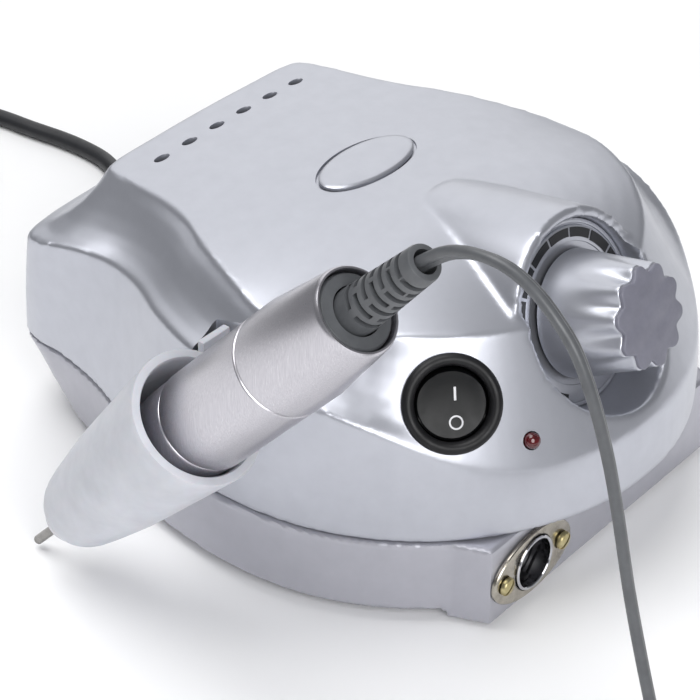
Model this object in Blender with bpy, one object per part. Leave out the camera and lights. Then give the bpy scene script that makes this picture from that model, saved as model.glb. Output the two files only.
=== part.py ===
"""Electric nail drill: a control unit with a speed knob, a handpiece in its side
holder, and their two cords. Metres, +Z up, front towards -Y.

Shapes are written in millimetres about the centre of the unit's round front
(the unit frame) and hang from one empty that carries the scale and the shift.
"""
import bpy
import bmesh
from math import cos, pi, radians, sin, sqrt
from mathutils import Matrix, Vector

# ---------------------------------------------------------------- dimensions, mm
GAP = 0.3                    # clearance between touching pieces
FRONT_R = 69.5               # round front of the housing
SEAM_Z = 23.0                # joint between base and top shell
BASE_Z = 3.5                 # lower edge of the base's side band
FOOT_H = 1.2                 # rubber feet below the base plate
WALL = 2.4                   # shell thickness
CHORD_Y = -58.0              # flat panel of the base that holds the hand socket
CHORD_X = (-46.0, 46.0)

POD_TILT = radians(20)       # the speed knob looks up by this angle
POD_MOUTH = Vector((0, -49, 61))
POD_R = 25.0
POD_BORE_R = 22.4
DIAL_SINK = 3.0              # dial face below the pod's mouth

SWITCH_AT = Vector((-44.0, -44.0, 57.0))
SWITCH_AZ = radians(45)      # how far the power switch is turned left of front
SWITCH_EL = radians(33)      # and how far it looks up
SWITCH_R = 11.5
LED_AT = Vector((-32.0, -58.0, 46.5))
LED_R = 1.9

DIN_AT = Vector((-31.0, CHORD_Y, 11.5))
DIN_PITCH = 22.3             # between the hand socket's two screws
DIRECTION_AT = Vector((-22.0, 88.7, 40.0))
REAR_LEAN = radians(14.4)    # the shell's rear wall leans forward
REAR_AXIS = Vector((0, 1, 0))
GLAND = Vector((36.0, 91.5, 13.0))
JACK = Vector((-28.0, 91.5, 13.0))
FUSE = Vector((2.0, 92.8, 13.0))
POSTS = [(-50, -8), (50, -8), (-33, 72), (33, 72)]
FEET = [(-48, -30), (48, -30), (-38, 58), (38, 58)]

HAND_TILT = radians(47.2)    # handpiece axis above the table
HAND_TIP = Vector((-90.0, 45.3, 2.2))
HAND_R = 11.95
HAND_REAR = 146.3            # tip of the bit to the rear rim
BOOT_END = 170.6
HOLDER_SCREW = Vector((-70.4, 2.0, 48.9))

CUP_FROM, CUP_MOUTH = 19.5, 82.0
CUP_LEAN = 1.5               # how far the cup's mouth stands off the handpiece's axis

CORD_D = 4.4                 # flat twin cord of the handpiece
MAINS_D = 5.0

# routes of the two cords, and what their unseen length is wound into
HAND_ROUTE = [(-90, -76.9, 132.0), (-90, -83.5, 133.9), (-90, -90, 133.7), (-90, -95.8, 131.4), (-90, -101,
                                                                                                 127.4),
              (-90, -106.3, 121.4), (-90, -111, 111.7), (-90, -114.7, 101.1), (-90, -117.8, 89.1),
              (-90, -122.1, 70.2), (-90, -128.2, 48.2), (-89.8, -134.5, 28), (-89.2, -142.5, 12.5),
              (-88.7, -149.5, 6.0)]
MAINS_ROUTE = [(36, 115.9, 13), (36.4, 123, 12.2), (39, 132, 8.6), (44.5, 142, 4.6), (50, 151, 2.8), (53.6,
                                                                                                      160,
                                                                                                      2.55),
               (54.8, 168.5, 2.55), (54.8, 178, 2.55), (53.6, 190, 2.55), (52.6, 203, 2.55), (50, 213, 2.6),
               (45.4, 219.8, 2.7), (39, 224.2, 2.9)]
HAND_COIL = Vector((-66.0, -176.0, 0.0))
MAINS_COIL = Vector((2.0, 214.0, 0.0))
MAINS_PLUG = Vector((-24.0, 246.5, 8.2))
DIN_PLUG = Vector((-46.0, -202.4, 7.6))

MM = 0.001
ROOT_SHIFT = Vector((18.35, -20.94, 0.0))      # puts the unit's middle on the origin


# ---------------------------------------------------------------- materials
def material(name, colour, roughness, metallic=0.0):
    mat = bpy.data.materials.new(name)
    mat.use_nodes = True
    shader = mat.node_tree.nodes["Principled BSDF"]
    shader.inputs["Base Color"].default_value = (*colour, 1)
    shader.inputs["Roughness"].default_value = roughness
    shader.inputs["Metallic"].default_value = metallic
    return mat


def make_materials():
    return {
        "silver": material("silver_paint", (0.58, 0.59, 0.63), 0.35, 0.5),
        "base": material("base_paint", (0.42, 0.42, 0.46), 0.42, 0.4),
        "cup": material("cup_plastic", (0.62, 0.63, 0.68), 0.4),
        "barrel": material("barrel_metal", (0.58, 0.57, 0.6), 0.28, 0.9),
        "chrome": material("chrome", (0.75, 0.75, 0.77), 0.1, 1.0),
        "steel": material("steel", (0.45, 0.44, 0.43), 0.3, 1.0),
        "brass": material("brass", (0.72, 0.6, 0.32), 0.3, 1.0),
        "copper": material("copper_wire", (0.5, 0.2, 0.08), 0.4, 0.9),
        "black": material("black_plastic", (0.012, 0.012, 0.013), 0.35),
        "rubber": material("rubber", (0.03, 0.03, 0.032), 0.75),
        "grey": material("grey_vinyl", (0.16, 0.165, 0.17), 0.5),
        "led": material("red_lens", (0.12, 0.005, 0.006), 0.15),
        "board": material("circuit_board", (0.02, 0.16, 0.06), 0.5),
        "knob_end": material("knob_cap", (0.19, 0.19, 0.22), 0.4, 0.3),
    }


# ---------------------------------------------------------------- mesh helpers
def finish(name, bm, mat, parent, sharp=35):
    """Turn a bmesh into a named object under the given parent."""
    bmesh.ops.remove_doubles(bm, verts=bm.verts, dist=0.001)
    bmesh.ops.recalc_face_normals(bm, faces=bm.faces)
    mesh = bpy.data.meshes.new(name)
    bm.to_mesh(mesh)
    bm.free()
    mesh.shade_smooth()
    mesh.set_sharp_from_angle(angle=radians(sharp))
    mesh.materials.append(mat)
    obj = bpy.data.objects.new(name, mesh)
    bpy.context.scene.collection.objects.link(obj)
    obj.parent = parent
    return obj


def placed(at=(0, 0, 0), towards=(0, 0, 1), up=(0, 0, 1)):
    """Matrix that puts local Z along towards, and local Y near up, at a point."""
    z = Vector(towards).normalized()
    hint = Vector(up)
    if z.cross(hint).length < 1e-4:
        hint = Vector((0, 1, 0))
    x = hint.cross(z).normalized()
    y = z.cross(x)
    return Matrix.Translation(Vector(at)) @ Matrix((x, y, z)).transposed().to_4x4()


def put(obj, matrix):
    """Place an object in the unit frame, whatever empty it hangs from."""
    obj.matrix_parent_inverse = Matrix.Identity(4)
    obj.matrix_basis = matrix
    return obj


def turned_mesh(profile, segments=32):
    """Solid of revolution about Z; the profile is a closed loop of (r, z)."""
    bm = bmesh.new()
    rings = []
    for r, z in profile:
        if r < 1e-6:
            rings.append([bm.verts.new((0, 0, z))])
        else:
            angles = [2 * pi * i / segments for i in range(segments)]
            rings.append([bm.verts.new((r * cos(a), r * sin(a), z)) for a in angles])
    pairs = list(zip(rings, rings[1:] + rings[:1]))
    for low, high in pairs:
        if len(low) == 1 and len(high) == 1:
            continue
        for i in range(segments):
            j = (i + 1) % segments
            corners = [low[i % len(low)], low[j % len(low)], high[j % len(high)], high[i % len(high)]]
            bm.faces.new(list(dict.fromkeys(corners)))
    return bm


def turned(name, profile, mat, parent, matrix=Matrix(), segments=20):
    return put(finish(name, turned_mesh(profile, segments), mat, parent), matrix)


def disc(name, r, z0, z1, mat, parent, matrix=Matrix(), segments=20, bore=0.0):
    """Plain cylinder or washer between two heights on the local Z axis."""
    profile = [(bore, z0), (r, z0), (r, z1), (bore, z1)]
    return turned(name, profile, mat, parent, matrix, segments)


def block(name, low, high, mat, parent, matrix=Matrix(), bevel=0.0):
    bm = bmesh.new()
    bmesh.ops.create_cube(bm, size=1)
    low, high = Vector(low), Vector(high)
    size = high - low
    for v in bm.verts:
        v.co = low + Vector((size[i] * (v.co[i] + 0.5) for i in range(3)))
    if bevel:
        bmesh.ops.bevel(bm, geom=bm.edges, offset=bevel, segments=2, affect="EDGES", profile=0.5)
    return put(finish(name, bm, mat, parent), matrix)


def prism(name, outline, z0, z1, mat, parent, matrix=Matrix()):
    """Straight extrusion of a closed outline in the local XY plane."""
    bm = bmesh.new()
    face = bm.faces.new([bm.verts.new((x, y, z0)) for x, y in outline])
    top = bmesh.ops.extrude_face_region(bm, geom=[face])["geom"]
    bmesh.ops.translate(bm, vec=(0, 0, z1 - z0), verts=[v for v in top if isinstance(v,
                                                                                     bmesh.types.BMVert)])
    return put(finish(name, bm, mat, parent), matrix)


def oval(a, b, count=24):
    return [(a * cos(2 * pi * i / count), b * sin(2 * pi * i / count)) for i in range(count)]


def boolean(obj, tool, operation="DIFFERENCE"):
    """Cut or join with a helper solid, which stays in the scene as a wire guide."""
    tool.hide_render = True
    tool.display_type = "WIRE"
    mod = obj.modifiers.new(tool.name, "BOOLEAN")
    mod.operation = operation
    mod.object = tool
    mod.solver = "EXACT"


def empty(name, parent, matrix=Matrix()):
    obj = bpy.data.objects.new(name, None)
    bpy.context.scene.collection.objects.link(obj)
    obj.parent = parent
    obj.matrix_basis = matrix
    return obj


# ---------------------------------------------------------------- housing curves
def front_arc(radius, steps=6):
    """Quarter of the round front, from straight ahead to the right-hand side."""
    angles = [pi / 2 * i / steps for i in range(steps + 1)]
    return [(radius * sin(a), -radius * cos(a)) for a in angles]


def closed_curve(half, samples=2):
    """Mirror a right half, given from front centre to rear centre, and smooth it."""
    left = [Vector((-p[0], *p[1:])) for p in half[1:-1]]
    points = [Vector(p) for p in half] + left[::-1]
    count = len(points)
    curve = []
    for i in range(count):
        a, b, c, d = (points[(i + k) % count] for k in (-1, 0, 1, 2))
        for s in range(samples):
            t = s / samples
            curve.append(0.5 * (2 * b + (c - a) * t + (2 * a - 5 * b + 4 * c - d) * t ** 2
                                + (3 * b - a - 3 * c + d) * t ** 3))
    return curve


def dome_z(x, y):
    """Height of the crowned top surface."""
    ahead = y + 8.0
    centre = 78.5 - (0.0052 if ahead < 0 else 0.00078) * ahead ** 2
    fall = 0.0025 - 0.0021 * min(max(y / 68.0, 0.0), 1.0)
    return centre - fall * x ** 2


SEAM_SIDE = [(68.7, 15), (66, 31), (59.5, 47), (54, 61), (50.7, 75), (49.5, 85), (44, 91.5), (22, 93), (0,
                                                                                                        93.2)]
FLOOR_SIDE = [(68.5, 15), (65.5, 31), (58, 47.5), (52.5, 61), (48, 73), (41, 83), (31, 88.5), (16, 90), (0,
                                                                                                         90.2)]
CREASE_SIDE = [(67, 15), (61.5, 30), (55, 42.5), (52.3, 54), (53.5, 66), (54.5, 76.5), (49, 82.5), (24, 84),
               (0, 84.2)]
TOP_SIDE = [(54, 12), (48.5, 26), (43, 37), (40, 47), (38.3, 57), (37, 65.5), (33, 69.3), (17, 70), (0,
                                                                                                     70.3)]
CREASE_Z = [39.5, 39.5, 40.3, 45, 53.5, 58.5, 60, 60, 60, 60, 60, 59.5, 58, 57.5, 58, 58]
TOP_RADII = [54, 54, 54, 54.4, 55.5, 57, 57.5]


def seam_curve(z):
    return closed_curve([(x, y, z) for x, y in front_arc(FRONT_R) + SEAM_SIDE])


def floor_curve(z):
    return closed_curve([(x, y, z) for x, y in front_arc(FRONT_R) + FLOOR_SIDE])


def crease_curve():
    plan = front_arc(FRONT_R - 0.3) + CREASE_SIDE
    return closed_curve([(x, y, z) for (x, y), z in zip(plan, CREASE_Z)])


def top_curve():
    arc = [Vector(p) * r for p, r in zip(front_arc(1.0), TOP_RADII)]
    half = [(x, y, dome_z(x, y)) for x, y in [tuple(p) for p in arc] + TOP_SIDE]
    return closed_curve(half)


def loft(rings, close_top=None):
    """Closed solid through rings of equal count; close_top is the centre point."""
    bm = bmesh.new()
    rows = [[bm.verts.new(p) for p in ring] for ring in rings]
    count = len(rows[0])
    for low, high in zip(rows, rows[1:]):
        for i in range(count):
            j = (i + 1) % count
            bm.faces.new((low[i], low[j], high[j], high[i]))
    bm.faces.new(rows[0][::-1])
    if close_top is None:
        bm.faces.new(rows[-1])
    else:
        tip = bm.verts.new(close_top)
        for i in range(count):
            bm.faces.new((rows[-1][i], rows[-1][(i + 1) % count], tip))
    return bm


def inset_solid(bm, depth, keep_below):
    """Move a lofted skin inwards, and push its flat underside down out of the way."""
    bmesh.ops.recalc_face_normals(bm, faces=bm.faces)
    bm.normal_update()
    floor = min(v.co.z for v in bm.verts)
    moves = []
    for v in bm.verts:
        normal = v.normal.copy()
        if v.co.z < floor + 0.01:
            normal.z = 0
            normal.normalize()
        moves.append(v.co - normal * depth)
    for v, co in zip(bm.verts, moves):
        low = v.co.z < floor + 0.01
        v.co = co
        if low:
            v.co.z = keep_below
    return bm


def shell_rings():
    seam, crease, top = seam_curve(SEAM_Z + GAP / 2), crease_curve(), top_curve()
    middle = []
    for a, b in zip(crease, top):
        hollow = 2.6 if a.y > -32 else 2.6 * max(0.0, (a.y + 52) / 20)
        outward = Vector((a.x, a.y, 0)).normalized() * 0.6 + Vector((0, 0, 0.8))
        middle.append((a + b) / 2 - outward * hollow)
    rings = [seam, crease, middle, top]
    hub = Vector((0, 8, 0))
    for f in (0.86, 0.66, 0.42, 0.2):
        ring = []
        for p in top:
            q = hub + (p - hub) * f
            ring.append(Vector((q.x, q.y, dome_z(q.x, q.y))))
        rings.append(ring)
    return rings, Vector((0, 8, dome_z(0, 8)))


def pod_axis():
    return Vector((0, -cos(POD_TILT), sin(POD_TILT)))


def pod_mesh(segments=32):
    """Tapered housing of the speed knob: from its round mouth back into the roof."""
    stations = []
    for t in (0.0, 0.3, 0.6, 0.85, 1.0):
        tilt = POD_TILT * (1 - t)
        stations.append((Vector((0, -49 + 41 * t, 61 - 1.7 * t)), POD_R - 4.4 * t, tilt))
    stations += [(Vector((0, -3.5, 59.3)), 18.6, 0.0), (Vector((0, -0.5, 59.3)), 12.0, 0.0)]
    rings = []
    for centre, radius, tilt in stations:
        up = Vector((0, sin(tilt), cos(tilt)))
        turn = [2 * pi * i / segments for i in range(segments)]
        rings.append([centre + radius * (Vector((1, 0, 0)) * sin(a) + up * cos(a)) for a in turn])
    return loft(rings, close_top=Vector((0, 0.8, 59.3)))


# ---------------------------------------------------------------- directions
def switch_axis():
    flat = cos(SWITCH_EL)
    return Vector((-sin(SWITCH_AZ) * flat, -cos(SWITCH_AZ) * flat, sin(SWITCH_EL)))


def hand_axis():
    return Vector((0, -cos(HAND_TILT), sin(HAND_TILT)))


def cup_axis():
    """The cup leans off the handpiece's axis, so the barrel rests on its lower wall."""
    across = Vector((0, sin(HAND_TILT), cos(HAND_TILT)))
    return (hand_axis() * (CUP_MOUTH - CUP_FROM) + across * CUP_LEAN).normalized()


# ---------------------------------------------------------------- housing pieces
def make_shell(m, unit):
    rings, peak = shell_rings()
    shell = finish("top_shell", loft(rings, peak), m["silver"], unit, 28)
    boolean(shell, finish("cut_pod_outer", pod_mesh(), m["silver"], unit), "UNION")
    mouth = placed(POD_MOUTH, pod_axis())
    floor_z = -DIAL_SINK - 1.9
    inner = finish("cut_shell_hollow", inset_solid(loft(rings, peak), WALL, SEAM_Z - 5), m["silver"], unit)
    wall_r = POD_BORE_R + WALL
    wall = [(0, floor_z - WALL), (wall_r, floor_z - WALL), (wall_r, 0), (wall_r + 2.6, 32), (0, 32)]
    boolean(inner, turned("keep_bore_wall", wall, m["silver"], unit, mouth, 32))
    boolean(shell, inner)
    bore = [(0, floor_z), (POD_BORE_R, floor_z), (POD_BORE_R, 0), (POD_BORE_R + 2.6, 32), (0, 32)]
    boolean(shell, turned("cut_pod_bore", bore, m["silver"], unit, mouth, 32))
    boolean(shell, disc("cut_pot_bush", 3.8, -12, 0, m["silver"], unit, mouth, 20))
    ledge = [(-42, CHORD_Y + 0.2), (42, CHORD_Y + 0.2), (38, -59.2), (20, -67.3), (0, -70.2), (-20, -67.3),
             (-38, -59.2)]
    boolean(shell, prism("add_front_ledge", ledge, SEAM_Z + GAP / 2, SEAM_Z + 2.6, m["silver"], unit),
            "UNION")
    vent = [(x * 5.1, 60) for x in (-5, -3, -1, 1, 3, 5)]
    for i, (x, y) in enumerate(vent):
        slot = prism(f"cut_vent_{i}", oval(2.3, 1.2, 12), -6, 6, m["silver"], unit)
        put(slot, Matrix.Translation((x, y, dome_z(x, y))))
        boolean(shell, slot)
    plate = prism("cut_emblem", oval(16.6, 8.6), -0.9, 4, m["silver"], unit)
    boolean(shell, put(plate, emblem_place()))
    seat = placed(SWITCH_AT, switch_axis())
    boolean(shell, disc("cut_switch_seat", SWITCH_R + GAP, -0.6, 12, m["silver"], unit, seat, 28))
    boolean(shell, disc("cut_switch_hole", 9.9, -9, 2, m["silver"], unit, seat, 28))
    boolean(shell, disc("cut_led_hole", LED_R + 0.3, -8, 4, m["silver"], unit, placed(LED_AT, led_axis()),
                        16))
    boolean(shell, block("cut_holder_slot", (-76, -4, 56), (-59, 13, 73), m["silver"], unit))
    boolean(shell, block("cut_direction_hole", (-6.7, -9.7, -16), (6.7, 9.7, 6), m["silver"], unit,
                         direction_place()))
    for i, (x, y) in enumerate(POSTS):
        top = dome_z(x, y) - (1.2 if y < 0 else 9.0)
        post = disc(f"add_post_{i}", 3.6, 6.2, top, m["silver"], unit, Matrix.Translation((x, y, 0)), 14)
        boolean(shell, post, "UNION")
        hole = disc(f"cut_post_{i}", 1.5 + GAP, 5, 20, m["silver"], unit, Matrix.Translation((x, y, 0)), 12)
        boolean(shell, hole)


def led_axis():
    flat = Vector((LED_AT.x, LED_AT.y, 0)).normalized()
    return (flat * cos(radians(32)) + Vector((0, 0, sin(radians(32))))).normalized()


def direction_place():
    return placed(DIRECTION_AT, (0, cos(REAR_LEAN), sin(REAR_LEAN)))


def emblem_place():
    return placed((0, 16, dome_z(0, 16) - 0.1), (0, 0.037, 1), (0, 1, 0))


def make_base(m, unit):
    seam = SEAM_Z - GAP / 2
    foot = [Vector((p.x * 0.965, p.y * 0.965 + 0.4, BASE_Z)) for p in floor_curve(BASE_Z)]
    underside = [Vector((p.x, p.y, FOOT_H)) for p in foot]
    middle = [(a + b) / 2 for a, b in zip(floor_curve(BASE_Z), seam_curve(seam))]
    for p in middle:
        p.z = 11.0
    base = finish("base_tray", loft([underside, foot, floor_curve(BASE_Z), middle, seam_curve(seam)]),
                  m["base"], unit)
    deep = [[Vector((p.x * 0.955, p.y * 0.955 + 0.5, 4.0)) for p in floor_curve(0)]]
    deep.append([Vector((p.x * 0.965, p.y * 0.965 + 0.5, seam + 5)) for p in seam_curve(0)])
    boolean(base, finish("cut_base_hollow", loft(deep), m["base"], unit))
    x0, x1 = CHORD_X
    boolean(base, block("cut_base_chord", (x0 + 1, -80, -1), (x1 - 1, CHORD_Y, 30), m["base"], unit))
    wall = block("add_socket_wall", (x0, CHORD_Y, FOOT_H + 0.1), (x1, CHORD_Y + 2.4, seam - 0.1),
                 m["base"], unit)
    boolean(base, wall, "UNION")
    for side in (-1, 1):
        corner = [(side * 50, -47.8), (side * x1, CHORD_Y), (side * 40, CHORD_Y), (side * 40, -51)]
        boolean(base, prism(f"add_corner_{side + 2}", corner, FOOT_H + 0.1, seam - 0.1, m["base"], unit),
                "UNION")
    socket = placed(DIN_AT, (0, -1, 0))
    boolean(base, disc("cut_din_hole", 7.6, -8, 8, m["base"], unit, socket, 28))
    for i, side in enumerate((-1, 1)):
        hole = placed(DIN_AT + Vector((side * DIN_PITCH / 2, 0, 0)), (0, -1, 0))
        boolean(base, disc(f"cut_din_screw_{i}", 1.35, -8, 8, m["base"], unit, hole, 12))
    for i, (x, y) in enumerate(POSTS):
        boolean(base, disc(f"cut_case_screw_{i}", 1.9, 0, 8, m["base"], unit, Matrix.Translation((x, y,
                                                                                                  0)), 12))
        boolean(base, disc(f"cut_screw_head_{i}", 3.4, 0, 2.6, m["base"], unit, Matrix.Translation((x, y,
                                                                                                    0)),
                                                                                                    14))
    for name, at, r in (("gland", GLAND, 4.3), ("jack", JACK, 3.8), ("fuse", FUSE, 6.3)):
        boolean(base, disc(f"cut_{name}_hole", r, -10, 8, m["base"], unit, placed(at, REAR_AXIS), 20))


def make_feet_and_screws(m, unit):
    for i, (x, y) in enumerate(FEET):
        profile = [(0, 0), (4.6, 0), (5.2, 0.4), (5.2, FOOT_H - 0.02), (0, FOOT_H - 0.02)]
        turned(f"foot_{i + 1}", profile, m["rubber"], unit, Matrix.Translation((x, y, 0)), 20)
    for i, (x, y) in enumerate(POSTS):
        profile = [(0, 1.3), (2.9, 1.3), (2.9, 2.3), (1.4, 2.3), (1.4, 18), (0, 18)]
        turned(f"case_screw_{i + 1}", profile, m["steel"], unit, Matrix.Translation((x, y, 0)), 14)


def make_emblem(m, unit):
    """Blank oval badge plate, sunk in the roof with a groove round it."""
    bm = bmesh.new()
    rows = []
    for a, b, z in ((15.8, 7.8, -0.55), (15.8, 7.8, 0.15), (15.0, 7.0, 0.5), (9.0, 4.0, 0.75)):
        rows.append([Vector((x, y, z)) for x, y in oval(a, b)])
    bm = loft(rows, Vector((0, 0, 0.82)))
    put(finish("emblem_plate", bm, m["silver"], unit), emblem_place())


# ---------------------------------------------------------------- speed control
KNOB_LEVELS = [(0, 15.2, 0), (3.0, 14.8, 0), (8.0, 14.0, 0), (12.0, 13.4, 0.6), (17.0, 12.9, 1.3), (20.4,
                                                                                                    12.6,
                                                                                                    1.7)]
CAP_LEVELS = [(20.7, 12.5, 1.7), (21.2, 12.4, 1.7), (21.5, 12.0, 1.7)]


def fluted_mesh(levels, flutes=10, segments=40):
    """Round stack of (height, radius, flute depth); flutes open towards the front."""
    rows = []
    for z, radius, depth in levels:
        row = []
        for i in range(segments):
            angle = 2 * pi * i / segments
            notch = max(0.0, cos(flutes * angle)) ** 2
            r = radius - depth * notch
            row.append(Vector((r * cos(angle), r * sin(angle), z)))
        rows.append(row)
    return loft(rows)


def make_speed_control(m, unit):
    mouth = placed(POD_MOUTH, pod_axis(), (0, 0, 1))
    face = -DIAL_SINK
    plate = [(14.0, face - 1.6), (POD_BORE_R - GAP, face - 1.6), (POD_BORE_R - GAP, face), (21.2, face),
             (21.2, face - 0.5), (20.6, face - 0.5), (20.6, face), (14.0, face)]
    turned("dial_plate", plate, m["silver"], unit, mouth, 32)
    scale = bmesh.new()
    start, sweep, parts = radians(-150), radians(285), 12
    for i in range(parts):
        a0 = start + sweep * i / parts
        a1 = start + sweep * (i + 0.86) / parts
        steps = [a0 + (a1 - a0) * t / 3 for t in range(4)]
        inner = 17.2 + 1.4 * i / parts
        edge = [Vector((-20.2 * sin(a), 20.2 * cos(a), face + 0.35)) for a in steps]
        edge += [Vector((-inner * sin(a), inner * cos(a), face + 0.35)) for a in steps[::-1]]
        top = scale.faces.new([scale.verts.new(p) for p in edge])
        body = bmesh.ops.extrude_face_region(scale, geom=[top])["geom"]
        bmesh.ops.translate(scale, vec=(0, 0, 0.4), verts=[v for v in body if isinstance(v,
                                                                                         bmesh.types.BMVert)])
    ring = [(16.9, face + GAP), (20.3, face + GAP), (20.3, face + 0.45), (16.9, face + 0.45)]
    scale_ring = turned("scale_ring", ring, m["black"], unit, mouth, 32)
    boolean(scale_ring, put(finish("add_scale_marks", scale, m["black"], unit), mouth), "UNION")
    knob_hub = empty("knob_axis", unit, mouth)
    seated = Matrix.Translation((0, 0, face + 1.0))
    knob = put(finish("speed_knob", fluted_mesh(KNOB_LEVELS), m["silver"], knob_hub, 30), seated)
    boolean(knob, disc("cut_knob_bore", 3.1, -1, 12, m["silver"], knob_hub, seated, 20))
    put(finish("knob_cap", fluted_mesh(CAP_LEVELS), m["knob_end"], knob_hub, 30), seated)
    shaft = [(0, -24), (3.0, -24), (3.0, 8.5), (0, 8.5)]
    turned("pot_shaft", shaft, m["steel"], knob_hub, Matrix(), 18)
    nut = [(3.8, -4.6), (5.6, -4.6), (5.6, -2.6), (3.8, -2.6)]
    turned("pot_nut", nut, m["steel"], unit, mouth, 6)
    pot = [(3.1, -21), (3.1, -5.0), (3.5, -5.0), (3.5, -9.0), (12.0, -9.0), (12.0, -21)]
    turned("pot_body", pot, m["black"], unit, mouth, 28)


# ---------------------------------------------------------------- power switch and lamp
def make_switch(m, unit):
    seat = placed(SWITCH_AT, switch_axis(), (0, 0, 1))
    body = [(0, -13), (9.5, -13), (9.5, -0.3), (SWITCH_R, -0.3), (SWITCH_R, 0.9), (10.8, 1.8), (9.6, 1.9)]
    well = [(8.6, 0.6), (8.6, -12), (0, -12)]
    turned("switch_housing", body + well, m["black"], unit, seat, 28)
    hub = empty("rocker_axis", unit, seat @ Matrix.Translation((0, 0, -3.5)))
    put(finish("rocker", rocker_mesh(), m["black"], hub, 30), Matrix())
    lens = [(0, -3.0), (LED_R, -3.0), (LED_R, 0.3), (LED_R * 0.85, 1.0), (LED_R * 0.45, 1.5), (0, 1.7)]
    turned("led_lens", lens, m["led"], unit, placed(LED_AT, led_axis()), 16)


def rocker_mesh(ball=8.4, count=24):
    """Round paddle inside a ball about its pivot, its two halves sloping to the middle."""
    turn = [2 * pi * i / count for i in range(count)]
    rows = []
    for z in (-3.0, 0.0, 2.0):
        r = sqrt(ball ** 2 - z ** 2)
        rows.append([Vector((r * cos(a), r * sin(a), z)) for a in turn])
    r = sqrt(ball ** 2 - 3.9 ** 2)
    rim = [Vector((r * cos(a), r * sin(a),
                   3.0 + 0.13 * r * sin(a) + 0.004 * (r * sin(a)) ** 2)) for a in turn]
    inner = [Vector((p.x * 0.5, p.y * 0.5, 2.8 + 0.13 * p.y * 0.5)) for p in rim]
    return loft(rows + [rim, inner], Vector((0, 0, 2.75)))


# ---------------------------------------------------------------- sockets
def make_din_socket(m, unit):
    at = placed(DIN_AT, (0, -1, 0))
    flange = prism("din_flange", oval(15.2, 8.6), GAP, 1.3, m["chrome"], unit, at)
    boolean(flange, disc("cut_flange_bore", 7.3, -5, 5, m["chrome"], unit, at, 28))
    for i, side in enumerate((-1, 1)):
        place = placed(DIN_AT + Vector((side * DIN_PITCH / 2, 0, 0)), (0, -1, 0))
        boolean(flange, disc(f"cut_flange_screw_{i}", 1.35, -5, 5, m["chrome"], unit, place, 12))
        screw = [(0, -6.0), (1.05, -6.0), (1.05, 1.6), (2.3, 1.6), (2.1, 2.6), (0, 3.0)]
        turned(f"din_screw_{i + 1}", screw, m["brass"], unit, place, 16)
    shell = [(6.2, -7.0), (7.0, -7.0), (7.0, 1.9), (6.2, 1.9)]
    turned("din_shell", shell, m["chrome"], unit, at, 28)
    plug_face = [(0, -7.0), (5.9, -7.0), (5.9, -3.4), (0, -3.4)]
    insulator = turned("din_insulator", plug_face, m["black"], unit, at, 24)
    for i in range(5):
        angle = radians(-90 + 45 * i)
        hole = at @ Matrix.Translation((3.6 * sin(angle), -3.6 * cos(angle), 0))
        boolean(insulator, disc(f"cut_din_pin_{i}", 0.7, -5.5, 2, m["black"], unit, hole, 8))


def make_rear(m, unit):
    lean = direction_place()
    frame = block("direction_switch", (-6.4, -9.4, -12.0), (6.4, 9.4, -0.6), m["black"], unit, lean, 0.4)
    boolean(frame, block("cut_direction_well", (-4.9, -7.4, -9.0), (4.9, 7.4, 3), m["black"], unit, lean))
    hub = empty("direction_axis", unit, lean @ Matrix.Translation((0, 0, -4.0)))
    bm = bmesh.new()
    rows = [[Vector((-4.5, y, z)) for y, z in ((-6.4, -2), (-6.4, 3.7), (0, 2.7), (6.4, 5.0), (6.4, -2))]]
    rows.append([Vector((4.5, p.y, p.z)) for p in rows[0]])
    put(finish("direction_rocker", loft(rows), m["black"], hub), Matrix())
    jack = placed(JACK, REAR_AXIS)
    turned("pedal_jack", [(1.9, -14), (3.5, -14), (3.5, 1.2), (5.4, 1.2), (5.4, 3.0), (1.9, 3.0)],
           m["black"], unit,
           jack, 24)
    fuse = placed(FUSE, REAR_AXIS)
    turned("fuse_holder", [(0, -16), (6.0, -16), (6.0, 0.8), (7.6, 0.8), (7.6, 2.6), (4.9, 2.6), (4.9,
                                                                                                  -14), (0,
                                                                                                         -14)],
           m["black"], unit, fuse, 24)
    turned("fuse_cap", [(0, -2.0), (4.6, -2.0), (4.6, 3.2), (4.2, 4.4), (0, 4.4)], m["black"], unit, fuse,
           24)
    gland = placed(GLAND, REAR_AXIS)
    bore = MAINS_D / 2 + 0.3
    turned("mains_gland", [(bore, -5), (4.0, -5), (4.0, 1.4), (6.6, 1.4), (6.6, 3.0), (4.6, 5.0), (3.6,
                                                                                                   24),
                                                                                                   (bore,
                                                                                                    24)],
           m["rubber"], unit, gland, 20)


# ---------------------------------------------------------------- electrics inside
def make_inside(m, unit):
    block("transformer_core", (4, 20, 6), (40, 58, 46), m["steel"], unit, Matrix(), 0.6)
    core = bpy.data.objects["transformer_core"]
    boolean(core, block("cut_core_window", (0, 26, 13), (44, 52, 39), m["steel"], unit))
    block("transformer_winding", (-3, 26.3, 13.3), (47, 51.7, 38.7), m["copper"], unit, Matrix(), 3.0)
    block("circuit_board", (-44, 8, 10), (-6, 60, 11.6), m["board"], unit)
    disc("capacitor", 6, 11.9, 32, m["black"], unit, Matrix.Translation((-30, 21, 0)), 18)
    block("heatsink", (-34, 40, 11.9), (-14, 52, 34), m["steel"], unit, Matrix(), 0.3)
    fins = bpy.data.objects["heatsink"]
    for i in range(4):
        boolean(fins, block(f"cut_fin_{i}", (-31.5 + 4.6 * i, 43, 11), (-29.0 + 4.6 * i, 54, 36),
                            m["steel"], unit))


# ---------------------------------------------------------------- handpiece and holder
def hand_place():
    return placed(HAND_TIP, hand_axis(), (0, 0, 1))


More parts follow.
